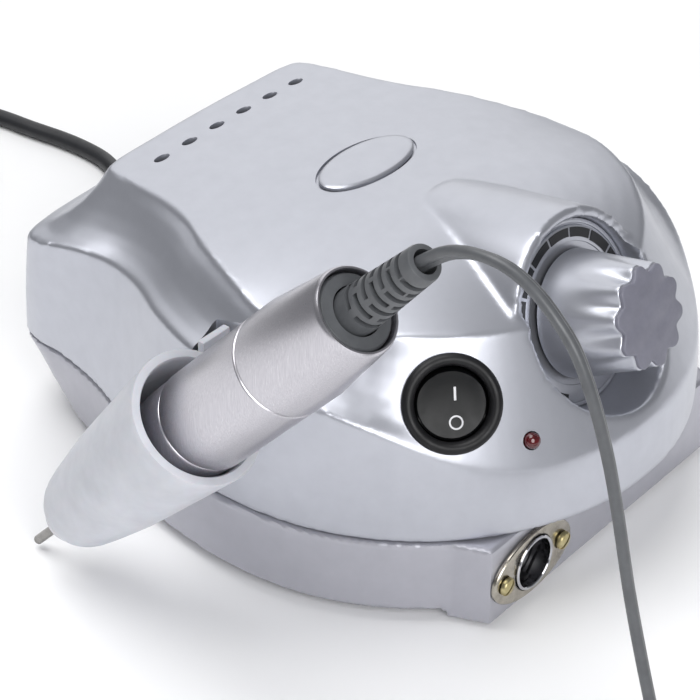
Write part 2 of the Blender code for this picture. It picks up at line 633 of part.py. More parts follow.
def make_holder(m, unit):
    start = HAND_TIP + hand_axis() * CUP_FROM
    place = placed(start, cup_axis(), (0, 0, 1))
    length = CUP_MOUTH - CUP_FROM
    outer = [(4.4, 0), (7.2, 0.4), (9.2, 2.6), (10.5, 6.5), (13.3, 26), (16.2, length - 0.6), (15.8,
                                                                                               length)]
    inner = [(14.0, length), (13.8, length - 1), (11.2, 28), (8.8, 10), (7.2, 5.0), (4.4, 2.2)]
    cup = turned("holder_cup", outer + inner, m["cup"], unit, place, 28)
    arm = block("holder_arm", (-74.0, -5, 42), (-71.8, 8.6, 63), m["cup"], unit)
    boolean(arm, block("add_tongue", (-73.5, -3.5, 60), (-61, 8, 62.8), m["cup"], unit), "UNION")
    boolean(arm, block("add_hook", (-64.6, -3, 57), (-62, 7.5, 62), m["cup"], unit), "UNION")
    boolean(arm, block("add_fin", (-73, 4, 61), (-64, 6, 68), m["cup"], unit), "UNION")
    inward = placed(HOLDER_SCREW, (-1, 0, 0))
    for i, piece in enumerate((cup, arm)):
        boolean(piece, disc(f"cut_holder_screw_{i}", 1.5, -6, 8, m["cup"], unit, inward, 12))
    screw = [(0, 0.2), (2.4, 0.2), (2.4, 1.1), (1.2, 1.1), (1.2, 6.0), (0, 6.0)]
    turned("holder_screw", screw, m["steel"], unit, inward, 14)


def make_handpiece(m, unit):
    place = hand_place()
    hand = empty("handpiece_axis", unit, place)
    barrel = [(10.6, 84), (HAND_R - 0.4, 84), (HAND_R, 84.6), (HAND_R, 116.6), (HAND_R - 0.25, 116.8),
              (HAND_R - 0.25, 117.4), (HAND_R, 117.6), (HAND_R, 126), (9.9, HAND_REAR - 0.6), (9.5,
                                                                                               HAND_REAR),
              (9.0, HAND_REAR), (9.0, 138), (10.6, 124)]
    turned("barrel", barrel, m["barrel"], hand, Matrix(), 24)
    sleeve = [(7.2, 50), (8.9, 50), (9.6, 60), (11.2, 70), (11.7, 75), (11.7, 83.2), (11.2, 83.7), (10.4,
                                                                                                    83.7),
              (7.2, 83.7)]
    turned("twist_sleeve", sleeve, m["barrel"], hand, Matrix(), 24)
    nose = [(3.3, 13.5), (3.8, 13.9), (3.8, 21.6), (5.4, 26), (7.0, 33), (8.1, 42), (8.4, 49.7), (5.6,
                                                                                                  49.7),
            (5.6, 28), (3.3, 22)]
    turned("nose_cone", nose, m["barrel"], hand, Matrix(), 20)
    spin = empty("spindle_axis", hand)
    turned("bit", [(0, 0), (1.15, 0.3), (1.175, 1), (1.175, 34), (0, 34)], m["steel"], spin, Matrix(), 12)
    collet = [(1.4, 14.2), (2.9, 14.2), (2.9, 21), (3.8, 29), (3.8, 36), (1.4, 36)]
    turned("collet", collet, m["steel"], spin, Matrix(), 20)
    turned("spindle", [(0, 36.3), (4.2, 36.3), (4.2, 46), (2.5, 46), (2.5, 88), (0, 88)], m["steel"], spin,
           Matrix(), 18)
    for i, s in enumerate((52, 74)):
        bearing = [(2.55, s), (6.6, s), (6.6, s + 5), (2.55, s + 5)]
        turned(f"bearing_{i + 1}", bearing, m["chrome"], hand, Matrix(), 24)
    turned("motor_can", [(3.2, 88.6), (10.2, 88.6), (10.2, 121.0), (0, 121.0), (0, 119.8), (9.4, 119.8),
                         (9.4, 89.8),
                         (3.2, 89.8)], m["steel"], hand, Matrix(), 20)
    turned("motor_armature", [(0, 88.4), (2.5, 88.4), (2.5, 93), (7.4, 93), (7.4, 112), (5, 112), (5,
                                                                                                   118.5),
                              (0, 118.5)], m["copper"], spin, Matrix(), 20)
    cap = [(5.5, 139), (8.7, 139), (8.7, 145.0), (8.2, 145.6), (5.5, 145.8)]
    turned("rear_cap", cap, m["grey"], hand, Matrix(), 20)
    boot = [(2.5, 136), (5.2, 136), (5.2, 147.5), (5.0, 150), (4.1, BOOT_END), (2.5, BOOT_END)]
    turned("strain_relief", boot, m["grey"], hand, Matrix(), 24)


# ---------------------------------------------------------------- cords
def smooth_route(points, step):
    """Read a smooth curve through hand-set points at an even spacing."""
    pts = [Vector(p) for p in points]
    pts = [2 * pts[0] - pts[1]] + pts + [2 * pts[-1] - pts[-2]]
    fine = []
    for a, b, c, d in zip(pts, pts[1:], pts[2:], pts[3:]):
        for s in range(24):
            t = s / 24
            fine.append(0.5 * (2 * b + (c - a) * t + (2 * a - 5 * b + 4 * c - d) * t ** 2
                               + (3 * b - a - 3 * c + d) * t ** 3))
    fine.append(pts[-2])
    total = sum((q - p).length for p, q in zip(fine, fine[1:]))
    count = max(3, round(total / step))
    out, walked, target = [fine[0]], 0.0, total / count
    for p, q in zip(fine, fine[1:]):
        leg = (q - p).length
        while walked + leg >= target - 1e-9 and len(out) < count:
            out.append(p.lerp(q, (target - walked) / leg))
            target += total / count
        walked += leg
    out.append(fine[-1])
    return out


def tube(name, points, diameter, mat, unit, step=2.8):
    curve = bpy.data.curves.new(name, "CURVE")
    curve.dimensions = "3D"
    curve.bevel_depth = diameter / 2
    curve.bevel_resolution = 2
    curve.use_fill_caps = True
    route = smooth_route(points, diameter * step)
    line = curve.splines.new("POLY")
    line.points.add(len(route) - 1)
    for point, co in zip(line.points, route):
        point.co = (*co, 1)
    curve.materials.append(mat)
    obj = bpy.data.objects.new(name, curve)
    bpy.context.scene.collection.objects.link(obj)
    obj.parent = unit
    return obj


def ring_solid(name, centre, middle, width, height, mat, unit):
    """Outer shape of a neat coil: a turned ring with rounded corners."""
    r0, r1 = middle - width / 2, middle + width / 2
    c = 1.5
    profile = [(r0, c), (r0 + c, 0.05), (r1 - c, 0.05), (r1, c), (r1, height - c), (r1 - c, height),
               (r0 + c, height),
               (r0, height - c)]
    return turned(name, profile, mat, unit, Matrix.Translation(centre), 24)


def make_cords(m, unit):
    leaving = HAND_TIP + hand_axis() * (BOOT_END + GAP)
    tube("handpiece_cord", [leaving] + HAND_ROUTE, CORD_D, m["grey"], unit)
    tube("mains_cord", MAINS_ROUTE, MAINS_D, m["rubber"], unit)
    ring_solid("handpiece_coil", HAND_COIL, 22.0, 15.0, 8.4, m["grey"], unit)
    ring_solid("mains_coil", MAINS_COIL, 27.5, 17.0, 15.5, m["rubber"], unit)
    mains = placed(MAINS_PLUG, (-1, 0, 0))
    body = [(0, 0), (2.9, 0), (3.6, 12), (7.2, 16), (7.8, 20), (7.8, 36), (6.6, 38), (0, 38)]
    plug = turned("mains_plug", body, m["rubber"], unit, mains, 20)
    for i, side in enumerate((-1, 1)):
        at = mains @ Matrix.Translation((0, side * 4.6, 0))
        boolean(plug, disc(f"add_plug_pin_{i}", 2.0, 30, 56, m["brass"], unit, at, 10), "UNION")
    body = [(0, 0), (2.9, 0), (3.4, 10), (6.0, 12), (7.2, 14), (7.2, 30), (6.0, 31), (6.0, 41), (0, 41)]
    turned("din_plug", body, m["grey"], unit, placed(DIN_PLUG, (1, 0, 0)), 20)


def main():
    for obj in list(bpy.data.objects):
        bpy.data.objects.remove(obj)
    mats = make_materials()
    frame = empty("nail_drill", None)
    frame.scale = (MM, MM, MM)
    frame.location = ROOT_SHIFT * MM
    make_shell(mats, frame)
    make_base(mats, frame)
    make_feet_and_screws(mats, frame)
    make_emblem(mats, frame)
    make_speed_control(mats, frame)
    make_switch(mats, frame)
    make_din_socket(mats, frame)
    make_rear(mats, frame)
    make_inside(mats, frame)
    make_holder(mats, frame)
    make_handpiece(mats, frame)
    make_cords(mats, frame)


main()
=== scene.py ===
"""Electric nail drill for a manicure table: a domed control unit with a speed knob,
a pen handpiece resting in its side holder, and the two cords. Run as a script."""
from math import cos, pi, radians, sin, sqrt

import bmesh
import bpy
from bpy.props import FloatProperty, FloatVectorProperty, IntProperty, PointerProperty
from bpy.types import Operator, Panel, PropertyGroup
from mathutils import Matrix, Vector


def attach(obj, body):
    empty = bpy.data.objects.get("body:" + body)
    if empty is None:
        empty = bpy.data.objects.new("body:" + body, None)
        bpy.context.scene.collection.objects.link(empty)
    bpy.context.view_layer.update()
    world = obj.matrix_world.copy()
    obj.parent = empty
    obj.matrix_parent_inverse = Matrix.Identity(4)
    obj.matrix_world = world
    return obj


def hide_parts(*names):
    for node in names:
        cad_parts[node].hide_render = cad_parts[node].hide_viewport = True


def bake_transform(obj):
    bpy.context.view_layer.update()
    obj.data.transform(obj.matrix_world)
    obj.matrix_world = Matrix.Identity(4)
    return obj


bl_info = {
    "name": "Electric nail drill",
    "version": (1, 0, 0),
    "blender": (4, 5, 0),
    "location": "View3D > Sidebar > Nail drill",
    "description": "Builds an electric nail drill with its handpiece, holder and cords",
    "category": "Add Mesh",
}

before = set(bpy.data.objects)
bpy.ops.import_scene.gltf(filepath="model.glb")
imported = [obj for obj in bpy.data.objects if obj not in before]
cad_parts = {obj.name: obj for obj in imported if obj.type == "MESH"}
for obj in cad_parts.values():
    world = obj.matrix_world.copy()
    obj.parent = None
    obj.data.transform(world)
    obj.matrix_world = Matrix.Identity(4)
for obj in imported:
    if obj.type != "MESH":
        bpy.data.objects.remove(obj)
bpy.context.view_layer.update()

# ------------------------------------------------------------------ dimensions, mm
# Pieces are shaped in millimetres about the centre of the unit's round front, and
# ROOT then carries them to metres in the frame that the CAD nodes stand in.
SHIFT = Vector((18.35, -20.94, 0.0))
ROOT = Matrix.Translation(SHIFT * 0.001) @ Matrix.Scale(0.001, 4)
GAP = 0.3
FRONT_R = 69.5
SEAM_Z, BASE_Z, FOOT_H, WALL = 23.0, 3.5, 1.2, 2.4
CHORD_Y, CHORD_X = -58.0, 46.0
POD_TILT = radians(20)
POD_MOUTH = Vector((0, -49, 61))
POD_R, POD_BORE_R, DIAL_FACE = 25.0, 22.4, -3.0
SWITCH_AT, SWITCH_AZ, SWITCH_EL = Vector((-44, -44, 57)), radians(45), radians(33)
LED_AT, LED_EL, LED_R = Vector((-32, -58, 46.5)), radians(32), 1.9
DIN_AT, DIN_PITCH = Vector((-31, CHORD_Y, 11.5)), 22.3
DIRECTION_AT, REAR_LEAN = Vector((-22, 88.7, 40)), radians(14.4)
GLAND, JACK, FUSE = Vector((36, 91.5, 13)), Vector((-28, 91.5, 13)), Vector((2, 92.8, 13))
POSTS = [(-50, -8), (50, -8), (-33, 72), (33, 72)]
FEET = [(-48, -30), (48, -30), (-38, 58), (38, 58)]
HAND_TILT = radians(47.2)
HAND_TIP = Vector((-90.0, 45.3, 2.2))
HAND_R, BOOT_END = 11.95, 170.6
CUP_FROM, CUP_MOUTH, CUP_LEAN = 19.5, 82.0, 1.5
CORD_W, CORD_T, CORD_LEAN = 4.5, 2.4, 35    # flat twin cord: two 2.4 mm strands side by side
MAINS_D = 5.0
HAND_COIL = Vector((-66, -176, 0))
MAINS_COIL = Vector((2, 214, 0))
DIN_PLUG = Vector((-46, -202.4, 7.6))
MAINS_PLUG = Vector((-24, 246.5, 8.2))

# half outlines of the housing, from the right end of the round front to the rear
SEAM_SIDE = [(68.7, 15), (66, 31), (59.5, 47), (54, 61), (50.7, 75), (49.5, 85), (44, 91.5), (22, 93),
             (0, 93.2)]
FLOOR_SIDE = [(68.5, 15), (65.5, 31), (58, 47.5), (52.5, 61), (48, 73), (41, 83), (31, 88.5), (16, 90),
              (0, 90.2)]
CREASE_SIDE = [(67, 15), (61.5, 30), (55, 42.5), (52.3, 54), (53.5, 66), (54.5, 76.5), (49, 82.5), (24, 84),
               (0, 84.2)]
TOP_SIDE = [(54, 12), (48.5, 26), (43, 37), (40, 47), (38.3, 57), (37, 65.5), (33, 69.3), (17, 70), (0, 70.3)]
CREASE_Z = [39.5, 39.5, 40.3, 45, 53.5, 58.5, 60, 60, 60, 60, 60, 59.5, 58, 57.5, 58, 58]
TOP_RADII = [54, 54, 54, 54.4, 55.5, 57, 57.5]

HAND_ROUTE = [(-90, -76.9, 132), (-90, -83.5, 133.9), (-90, -90, 133.7), (-90, -95.8, 131.4),
              (-90, -101, 127.4),
              (-90, -106.3, 121.4), (-90, -111, 111.7), (-90, -114.7, 101.1), (-90, -117.8, 89.1),
              (-90, -122.1, 70.2), (-90, -128.2, 48.2), (-89.8, -134.5, 28), (-89.2, -142.5, 12.5),
              (-88.9, -151, 5.6), (-90.2, -161, 2.4), (-91.8, -169, 1.5)]
MAINS_ROUTE = [(36, 110, 13), (36, 115.9, 13), (36.4, 123, 12.2), (39, 132, 8.6), (44.5, 142, 4.6),
               (50, 151, 2.8), (53.6, 160, 2.55), (54.8, 168.5, 2.55), (54.8, 178, 2.55), (53.6, 190, 2.55),
               (52.6, 203, 2.55), (50, 213, 2.55), (45.4, 219.8, 2.55), (39, 225.4, 2.55), (31, 232.4, 2.55)]


def placed(at=(0, 0, 0), towards=(0, 0, 1), up=(0, 0, 1)):
    """Matrix that puts local Z along towards, and local Y near up, at a point."""
    z = Vector(towards).normalized()
    hint = Vector(up) if z.cross(Vector(up)).length > 1e-4 else Vector((0, 1, 0))
    x = hint.cross(z).normalized()
    return Matrix.Translation(Vector(at)) @ Matrix((x, z.cross(x), z)).transposed().to_4x4()


def pod_place():
    return placed(POD_MOUTH, (0, -cos(POD_TILT), sin(POD_TILT)))


def switch_place():
    flat = cos(SWITCH_EL)
    return placed(SWITCH_AT, (-sin(SWITCH_AZ) * flat, -cos(SWITCH_AZ) * flat, sin(SWITCH_EL)))


def led_place():
    flat = Vector((LED_AT.x, LED_AT.y, 0)).normalized() * cos(LED_EL)
    return placed(LED_AT, flat + Vector((0, 0, sin(LED_EL))))


def direction_place():
    return placed(DIRECTION_AT, (0, cos(REAR_LEAN), sin(REAR_LEAN)))


def hand_axis():
    return Vector((0, -cos(HAND_TILT), sin(HAND_TILT)))


def hand_place():
    return placed(HAND_TIP, hand_axis())


def cup_place():
    across = Vector((0, sin(HAND_TILT), cos(HAND_TILT)))
    lean = hand_axis() * (CUP_MOUTH - CUP_FROM) + across * CUP_LEAN
    return placed(HAND_TIP + hand_axis() * CUP_FROM, lean)


def rear(at):
    return placed(at, (0, 1, 0))


def knob_place():
    return pod_place() @ Matrix.Translation((0, 0, DIAL_FACE + 1))


# ------------------------------------------------------------------ materials
def linear(hex_colour):
    """sRGB hex such as #C8CBD4 as linear RGBA."""
    parts = [int(hex_colour[i:i + 2], 16) / 255 for i in (1, 3, 5)]
    return (*[c / 12.92 if c <= 0.04045 else ((c + 0.055) / 1.055) ** 2.4 for c in parts], 1.0)


def add_node(tree, kind, settings=None, inputs=None):
    """Add a node. Settings are its own properties; inputs are values, or (node, output) links."""
    made = tree.nodes.new(kind)
    for key, value in (settings or {}).items():
        setattr(made, key, value)
    for key, value in (inputs or {}).items():
        if isinstance(value, tuple) and isinstance(value[0], bpy.types.Node):
            tree.links.new(value[0].outputs[value[1]], made.inputs[key])
        else:
            made.inputs[key].default_value = value
    return made


def start_material(name, **shader_values):
    mat = bpy.data.materials.new(name)
    mat.use_nodes = True
    tree = mat.node_tree
    shader = tree.nodes["Principled BSDF"]
    for key, value in shader_values.items():
        shader.inputs[key.replace("_", " ")].default_value = value
    return mat, tree, shader


def vary(tree, shader, light, dark, patch, rough=None, turn=(0, 0, 0), stretch=(1, 1, 1)):
    """Tint that drifts between two near colours over patches of a size in mm; roughness may drift with it."""
    spot = add_node(tree, "ShaderNodeTexCoord")
    mapped = add_node(tree, "ShaderNodeMapping", inputs={"Vector": (spot, "Object"), "Rotation": turn,
                                                        "Scale": stretch})
    cloud = add_node(tree, "ShaderNodeTexNoise", inputs={"Vector": (mapped, "Vector"), "Scale": 1000 / patch,
                                                        "Detail": 3.0, "Roughness": 0.6})
    ramp = add_node(tree, "ShaderNodeMapRange",
                    inputs={"Value": (cloud, "Fac"), "From Min": 0.3, "From Max": 0.7})
    tint = add_node(tree, "ShaderNodeMix", {"data_type": "RGBA"}, {"Factor": (ramp, "Result")})
    colour_a, colour_b = [s for s in tint.inputs if s.type == "RGBA"][:2]
    colour_a.default_value, colour_b.default_value = light, dark
    result = [s for s in tint.outputs if s.type == "RGBA"][0]
    tree.links.new(result, shader.inputs["Base Color"])
    if rough:
        worn = add_node(tree, "ShaderNodeMapRange", inputs={"Value": (cloud, "Fac"), "From Min": 0.3,
                                                           "From Max": 0.7, "To Min": rough[0],
                                                           "To Max": rough[1]})
        tree.links.new(worn.outputs["Result"], shader.inputs["Roughness"])
    return mapped


def emboss(tree, shader, height, depth, strength=1.0):
    """Bump of a depth in mm from a height output (node, output)."""
    bump = add_node(tree, "ShaderNodeBump", inputs={"Height": height, "Distance": depth * 0.001,
                                                   "Strength": strength})
    tree.links.new(bump.outputs["Normal"], shader.inputs["Normal"])


def grain(tree, vector, size, detail=2.0):
    """Fine random height whose grains are about a size in mm."""
    return add_node(tree, "ShaderNodeTexNoise",
                    inputs={"Vector": vector, "Scale": 1000 / size, "Detail": detail,
                                                       "Roughness": 0.65})


ALONG_PEN = (pi / 2 - HAND_TILT, 0, 0)     # turns a pattern so that its Z runs along the handpiece


def make_lacquer(name, light, dark, metallic, roughness):
    """Silver lacquer sprayed over moulded ABS: fine flakes soften reflections, and the tone drifts slowly."""
    mat, tree, shader = start_material(name, Metallic=metallic, Roughness=roughness, Coat_Weight=0.18,
                                       Coat_Roughness=0.22)
    mapped = vary(tree, shader, light, dark, 5.0, (roughness - 0.01, roughness + 0.015))
    # real flakes are 0.03 mm; drawn at 0.35 mm so that they just show
    flakes = grain(tree, (mapped, "Vector"), 0.35, 1.0)
    emboss(tree, shader, (flakes, "Fac"), 0.012, 0.35)
    return mat


def make_frosted_cup(colours):
    """Polypropylene moulded in a bead-blasted tool: pale, waxy, with a faint orange peel."""
    mat, tree, shader = start_material("frosted_polypropylene", Roughness=0.42, IOR=1.49,
                                       Subsurface_Weight=0.12, Subsurface_Scale=0.002)
    mapped = vary(tree, shader, colours.cup, linear("#C0C2C9"), 9.0, (0.38, 0.48))
    peel = grain(tree, (mapped, "Vector"), 0.8)
    emboss(tree, shader, (peel, "Fac"), 0.02, 0.4)
    return mat


def make_satin_aluminium(colours):
    """Aluminium turned, blasted and clear anodised: satin, with turning lines round the pen."""
    mat, tree, shader = start_material("satin_anodised_aluminium", Metallic=1.0, Roughness=0.3,
                                       Anisotropic=0.35)
    mapped = vary(tree, shader, colours.barrel, linear("#BDBBC1"), 6.0, (0.27, 0.34), ALONG_PEN, (30, 30, 1))
    lines = grain(tree, (mapped, "Vector"), 0.3)
    emboss(tree, shader, (lines, "Fac"), 0.008, 0.3)
    return mat


def make_plated(name, light, dark, roughness, scuff):
    """Bright plated metal: mirror-like, with faint handling marks that dull it in patches."""
    mat, tree, shader = start_material(name, Metallic=1.0, Roughness=roughness)
    mapped = vary(tree, shader, light, dark, 3.0, (roughness, roughness + scuff))
    marks = grain(tree, (mapped, "Vector"), 0.4)
    emboss(tree, shader, (marks, "Fac"), 0.006, 0.25)
    return mat


def make_moulded(name, light, dark, roughness, size, depth, ior=1.5):
    """Moulded plastic or rubber with a spark-eroded grain of a size and depth in mm."""
    mat, tree, shader = start_material(name, Roughness=roughness, IOR=ior)
    mapped = vary(tree, shader, light, dark, size * 9, (roughness - 0.05, roughness + 0.07))
    skin = grain(tree, (mapped, "Vector"), size)
    emboss(tree, shader, (skin, "Fac"), depth, 0.5)
    return mat


def make_lens(colours):
    """Red-tinted acrylic lamp cap: deep and glossy, with a cloudy heart."""
    mat, tree, shader = start_material("red_acrylic_lens", Roughness=0.08, IOR=1.49, Coat_Weight=0.6,
                                       Coat_Roughness=0.04)
    vary(tree, shader, colours.lamp, linear("#38070B"), 1.6, (0.06, 0.14))
    return mat


def make_windings():
    """Enamelled copper wire wound in even layers: bands one wire wide, amber over copper."""
    mat, tree, shader = start_material("enamelled_copper_wire", Metallic=0.85, Roughness=0.35,
                                       Coat_Weight=0.5)
    mapped = vary(tree, shader, linear("#A5582C"), linear("#7C3A18"), 4.0, (0.3, 0.42))
    turns = add_node(tree, "ShaderNodeTexWave", {"bands_direction": "Y"},
                     {"Vector": (mapped, "Vector"), "Scale": 1000 / 0.9 / 20 * 6.28, "Distortion": 0.4})
    emboss(tree, shader, (turns, "Fac"), 0.12, 0.8)
    return mat


def make_laminations():
    """Stack of varnished silicon-steel sheets: thin dark lines between bluish grey sheets."""
    mat, tree, shader = start_material("varnished_lamination_steel", Metallic=0.7, Roughness=0.5)
    mapped = vary(tree, shader, linear("#6F7177"), linear("#55524E"), 8.0, (0.42, 0.58))
    sheets = add_node(tree, "ShaderNodeTexWave", {"bands_direction": "X"},
                      {"Vector": (mapped, "Vector"), "Scale": 1000 / 1.0 / 20 * 6.28, "Distortion": 0.1})
    emboss(tree, shader, (sheets, "Fac"), 0.15, 0.7)
    return mat


def make_board():
    """Glass-epoxy board under green solder mask: raised tracks and pads in a blocky layout."""
    mat, tree, shader = start_material("solder_mask_board", Roughness=0.35, IOR=1.55)
    mapped = vary(tree, shader, linear("#1F6B3A"), linear("#15512B"), 5.0, (0.28, 0.42))
    tracks = add_node(tree, "ShaderNodeTexVoronoi", {"feature": "F1", "distance": "MANHATTAN"},
                      {"Vector": (mapped, "Vector"), "Scale": 1000 / 3.5})
    emboss(tree, shader, (tracks, "Distance"), 0.2, 0.6)
    return mat


def make_floor():
    """Matt white tabletop with a barely visible roller texture."""
    mat, tree, shader = start_material("matt_white_tabletop", Roughness=0.75)
    mapped = vary(tree, shader, linear("#FDFDFD"), linear("#FAFAFB"), 60.0)
    roller = grain(tree, (mapped, "Vector"), 2.5)
    emboss(tree, shader, (roller, "Fac"), 0.02, 0.2)
    return mat


FINISH = {}


def make_finishes(colours):
    grey, black = colours.cord, colours.black
    FINISH.update({
        "silver": make_lacquer("silver_flake_lacquer", colours.shell, linear("#BBBDC5"), 0.8, 0.36),
        "base": make_lacquer("grey_flake_lacquer", colours.base, linear("#B0B0B8"), 0.6, 0.4),
        "cup": make_frosted_cup(colours),
        "barrel": make_satin_aluminium(colours),
        "chrome": make_plated("bright_chrome_plate", linear("#D2D2D6"), linear("#B9B9BE"), 0.1, 0.06),
        "nickel": make_plated("nickel_plate", linear("#BDB7AC"), linear("#9F998E"), 0.18, 0.12),
        "steel": make_plated("ground_tool_steel", linear("#9C9A97"), linear("#84827F"), 0.24, 0.14),
        "brass": make_plated("pale_passivated_brass", linear("#CFC49A"), linear("#A79A6C"), 0.25, 0.15),
        "black": make_moulded("black_abs", black, linear("#101012"), 0.42, 0.5, 0.015, 1.38),
        "rocker": make_moulded("black_polycarbonate", linear("#131416"), linear("#0E0F10"), 0.34, 0.6, 0.006,
                               1.33),
        "print": make_moulded("white_pad_print", linear("#E4E4E6"), linear("#CFCFD3"), 0.5, 0.3, 0.01),
        "scale": make_moulded("black_pad_print", linear("#101115"), linear("#1B1C21"), 0.4, 0.3, 0.01),
        "rubber": make_moulded("moulded_rubber", linear("#1D1D1F"), linear("#262628"), 0.7, 0.4, 0.03),
        "grey": make_moulded("grey_soft_pvc", grey, linear("#515356"), 0.36, 0.45, 0.015),
        "mains": make_moulded("black_soft_pvc", linear("#2C2D30"), linear("#232427"), 0.45, 0.45, 0.02),
        "cap": make_moulded("grey_knob_foil", colours.knob_end, linear("#6F6F7B"), 0.45, 0.5, 0.006),
        "lens": make_lens(colours),
        "copper": make_windings(),
        "laminations": make_laminations(),
        "board": make_board(),
        "floor": make_floor(),
    })


# ------------------------------------------------------------------ modelling helpers
def take(piece):
    """Select one object and nothing else."""
    for other in bpy.context.selected_objects:
        other.select_set(False)
    piece.select_set(True)
    bpy.context.view_layer.objects.active = piece


def drop_selection():
    for other in bpy.context.selected_objects:
        other.select_set(False)


def apply_modifier(piece, kind, **settings):
    mod = piece.modifiers.new(kind.lower(), kind)
    for key, value in settings.items():
        setattr(mod, key, value)
    take(piece)
    bpy.ops.object.modifier_apply(modifier=mod.name)


def combine(piece, tool, operation="DIFFERENCE", solver="MANIFOLD"):
    """Cut with a tool, or join it on, and throw the tool away."""
    apply_modifier(piece, "BOOLEAN", operation=operation, object=tool, solver=solver)
    bpy.data.objects.remove(tool)


def soften(piece, width, segments=2, angle=30):
    """Round the sharp edges by a width in mm."""
    apply_modifier(piece, "BEVEL", width=width, segments=segments, limit_method="ANGLE",
                   angle_limit=radians(angle), use_clamp_overlap=True)


def settle(piece, place):
    """Bake the object's own place, then a matrix, into its mesh."""
    take(piece)
    bpy.ops.object.transform_apply(location=True, rotation=True, scale=True)
    piece.data.transform(place)
    return piece


def turned(name, levels, place=Matrix(), sides=96, ring=False, edge=0.0, squeeze=1.0, turn=0.0):
    """Shape a circle up through (radius, height) levels; a ring's last level is bridged to its first."""
    drop_selection()
    bpy.ops.mesh.primitive_circle_add(vertices=sides, radius=levels[0][0],
                                      fill_type="NOTHING" if ring else "NGON",
                                      location=(0, 0, levels[0][1]), rotation=(0, 0, turn))
    piece = bpy.context.object
    piece.name = piece.data.name = name
    bpy.ops.object.mode_set(mode="EDIT")
    bpy.ops.mesh.select_all(action="SELECT")
    for (r0, z0), (r1, z1) in zip(levels, levels[1:]):
        bpy.ops.mesh.extrude_region_move(TRANSFORM_OT_translate={"value": (0, 0, z1 - z0)})
        bpy.ops.transform.resize(value=(r1 / r0, r1 / r0, 1))
    if ring:
        bpy.ops.mesh.select_all(action="DESELECT")
        bpy.ops.mesh.select_mode(type="EDGE")
        bpy.ops.mesh.select_non_manifold()
        bpy.ops.mesh.bridge_edge_loops()
        bpy.ops.mesh.select_mode(type="VERT")
    bpy.ops.mesh.select_all(action="SELECT")
    bpy.ops.mesh.remove_doubles(threshold=0.0005)
    if squeeze != 1.0:
        bpy.ops.transform.resize(value=(1, squeeze, 1))
    bpy.ops.mesh.normals_make_consistent(inside=False)
    bpy.ops.object.mode_set(mode="OBJECT")
    settle(piece, Matrix())
    if edge:
        soften(piece, edge)
    return settle(piece, place)


def block(name, low, high, place=Matrix(), edge=0.0):
    drop_selection()
    low, high = Vector(low), Vector(high)
    bpy.ops.mesh.primitive_cube_add(size=1, location=(low + high) / 2, scale=high - low)
    piece = bpy.context.object
    piece.name = piece.data.name = name
    settle(piece, Matrix())
    if edge:
        soften(piece, edge)
    return settle(piece, place)


def from_mesh(name, bm):
    """Object from mesh code, with doubles merged and faces turned outwards."""
    bmesh.ops.remove_doubles(bm, verts=bm.verts, dist=0.0005)
    bmesh.ops.recalc_face_normals(bm, faces=bm.faces)
    mesh = bpy.data.meshes.new(name)
    bm.to_mesh(mesh)
    bm.free()
    piece = bpy.data.objects.new(name, mesh)
    bpy.context.scene.collection.objects.link(piece)
    return piece


def prism(name, outline, z0, z1, place=Matrix()):
    """Straight extrusion of a closed outline."""
    bm = bmesh.new()
    face = bm.faces.new([bm.verts.new((x, y, z0)) for x, y in outline])
    raised = bmesh.ops.extrude_face_region(bm, geom=[face])["geom"]
    bmesh.ops.translate(bm, vec=(0, 0, z1 - z0),
                        verts=[v for v in raised if isinstance(v, bmesh.types.BMVert)])
    piece = from_mesh(name, bm)
    piece.data.transform(place)
    return piece


def loft(name, rings, peak=None):
    """Closed solid through rings of equal count, with a centre point on top if given."""
    bm = bmesh.new()
    rows = [[bm.verts.new(p) for p in ring] for ring in rings]
    for low, high in zip(rows, rows[1:]):
        for i in range(len(low)):
            j = (i + 1) % len(low)
            bm.faces.new((low[i], low[j], high[j], high[i]))
    bm.faces.new(rows[0][::-1])
    if peak is None:
        bm.faces.new(rows[-1])
    else:
        tip = bm.verts.new(peak)
        for a, b in zip(rows[-1], rows[-1][1:] + rows[-1][:1]):
            bm.faces.new((a, b, tip))
    return from_mesh(name, bm)


def merged(name, pieces):
    """Join several pieces into one mesh."""
    take(pieces[0])
    for piece in pieces:
        piece.select_set(True)
    bpy.ops.object.join()
    pieces[0].name = pieces[0].data.name = name
    return pieces[0]


def carry(piece, finish, body, nodes=(), sharp=32):
    """Shade a finished piece, bring it into the frame and let it ride on its body."""
    take(piece)
    bpy.ops.object.shade_smooth_by_angle(angle=radians(sharp))
    piece.data.transform(ROOT)
    piece.data.materials.clear()
    piece.data.materials.append(FINISH[finish])
    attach(piece, body)
    if nodes:
        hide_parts(*nodes)
    return piece


def refinish(finish, *nodes):
    """Give CAD nodes that keep their shape a better material."""
    for name in nodes:
        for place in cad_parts[name].material_slots:
            place.material = FINISH[finish]


# ------------------------------------------------------------------ housing curves
def front_arc(radius, steps=6):
    angles = [pi / 2 * i / steps for i in range(steps + 1)]
    return [(radius * sin(a), -radius * cos(a)) for a in angles]


def curve_between(a, b, c, d, t):
    """Point on the smooth curve from b to c."""
    return 0.5 * (2 * b + (c - a) * t + (2 * a - 5 * b + 4 * c - d) * t ** 2
                  + (3 * b - a - 3 * c + d) * t ** 3)


def closed_curve(half, samples):
    """Mirror a right half, given from front centre to rear centre, and smooth it."""
    left = [Vector((-p[0], *p[1:])) for p in half[1:-1]]
    points = [Vector(p) for p in half] + left[::-1]
    count = len(points)
    return [curve_between(*[points[(i + k) % count] for k in (-1, 0, 1, 2)], s / samples)
            for i in range(count) for s in range(samples)]


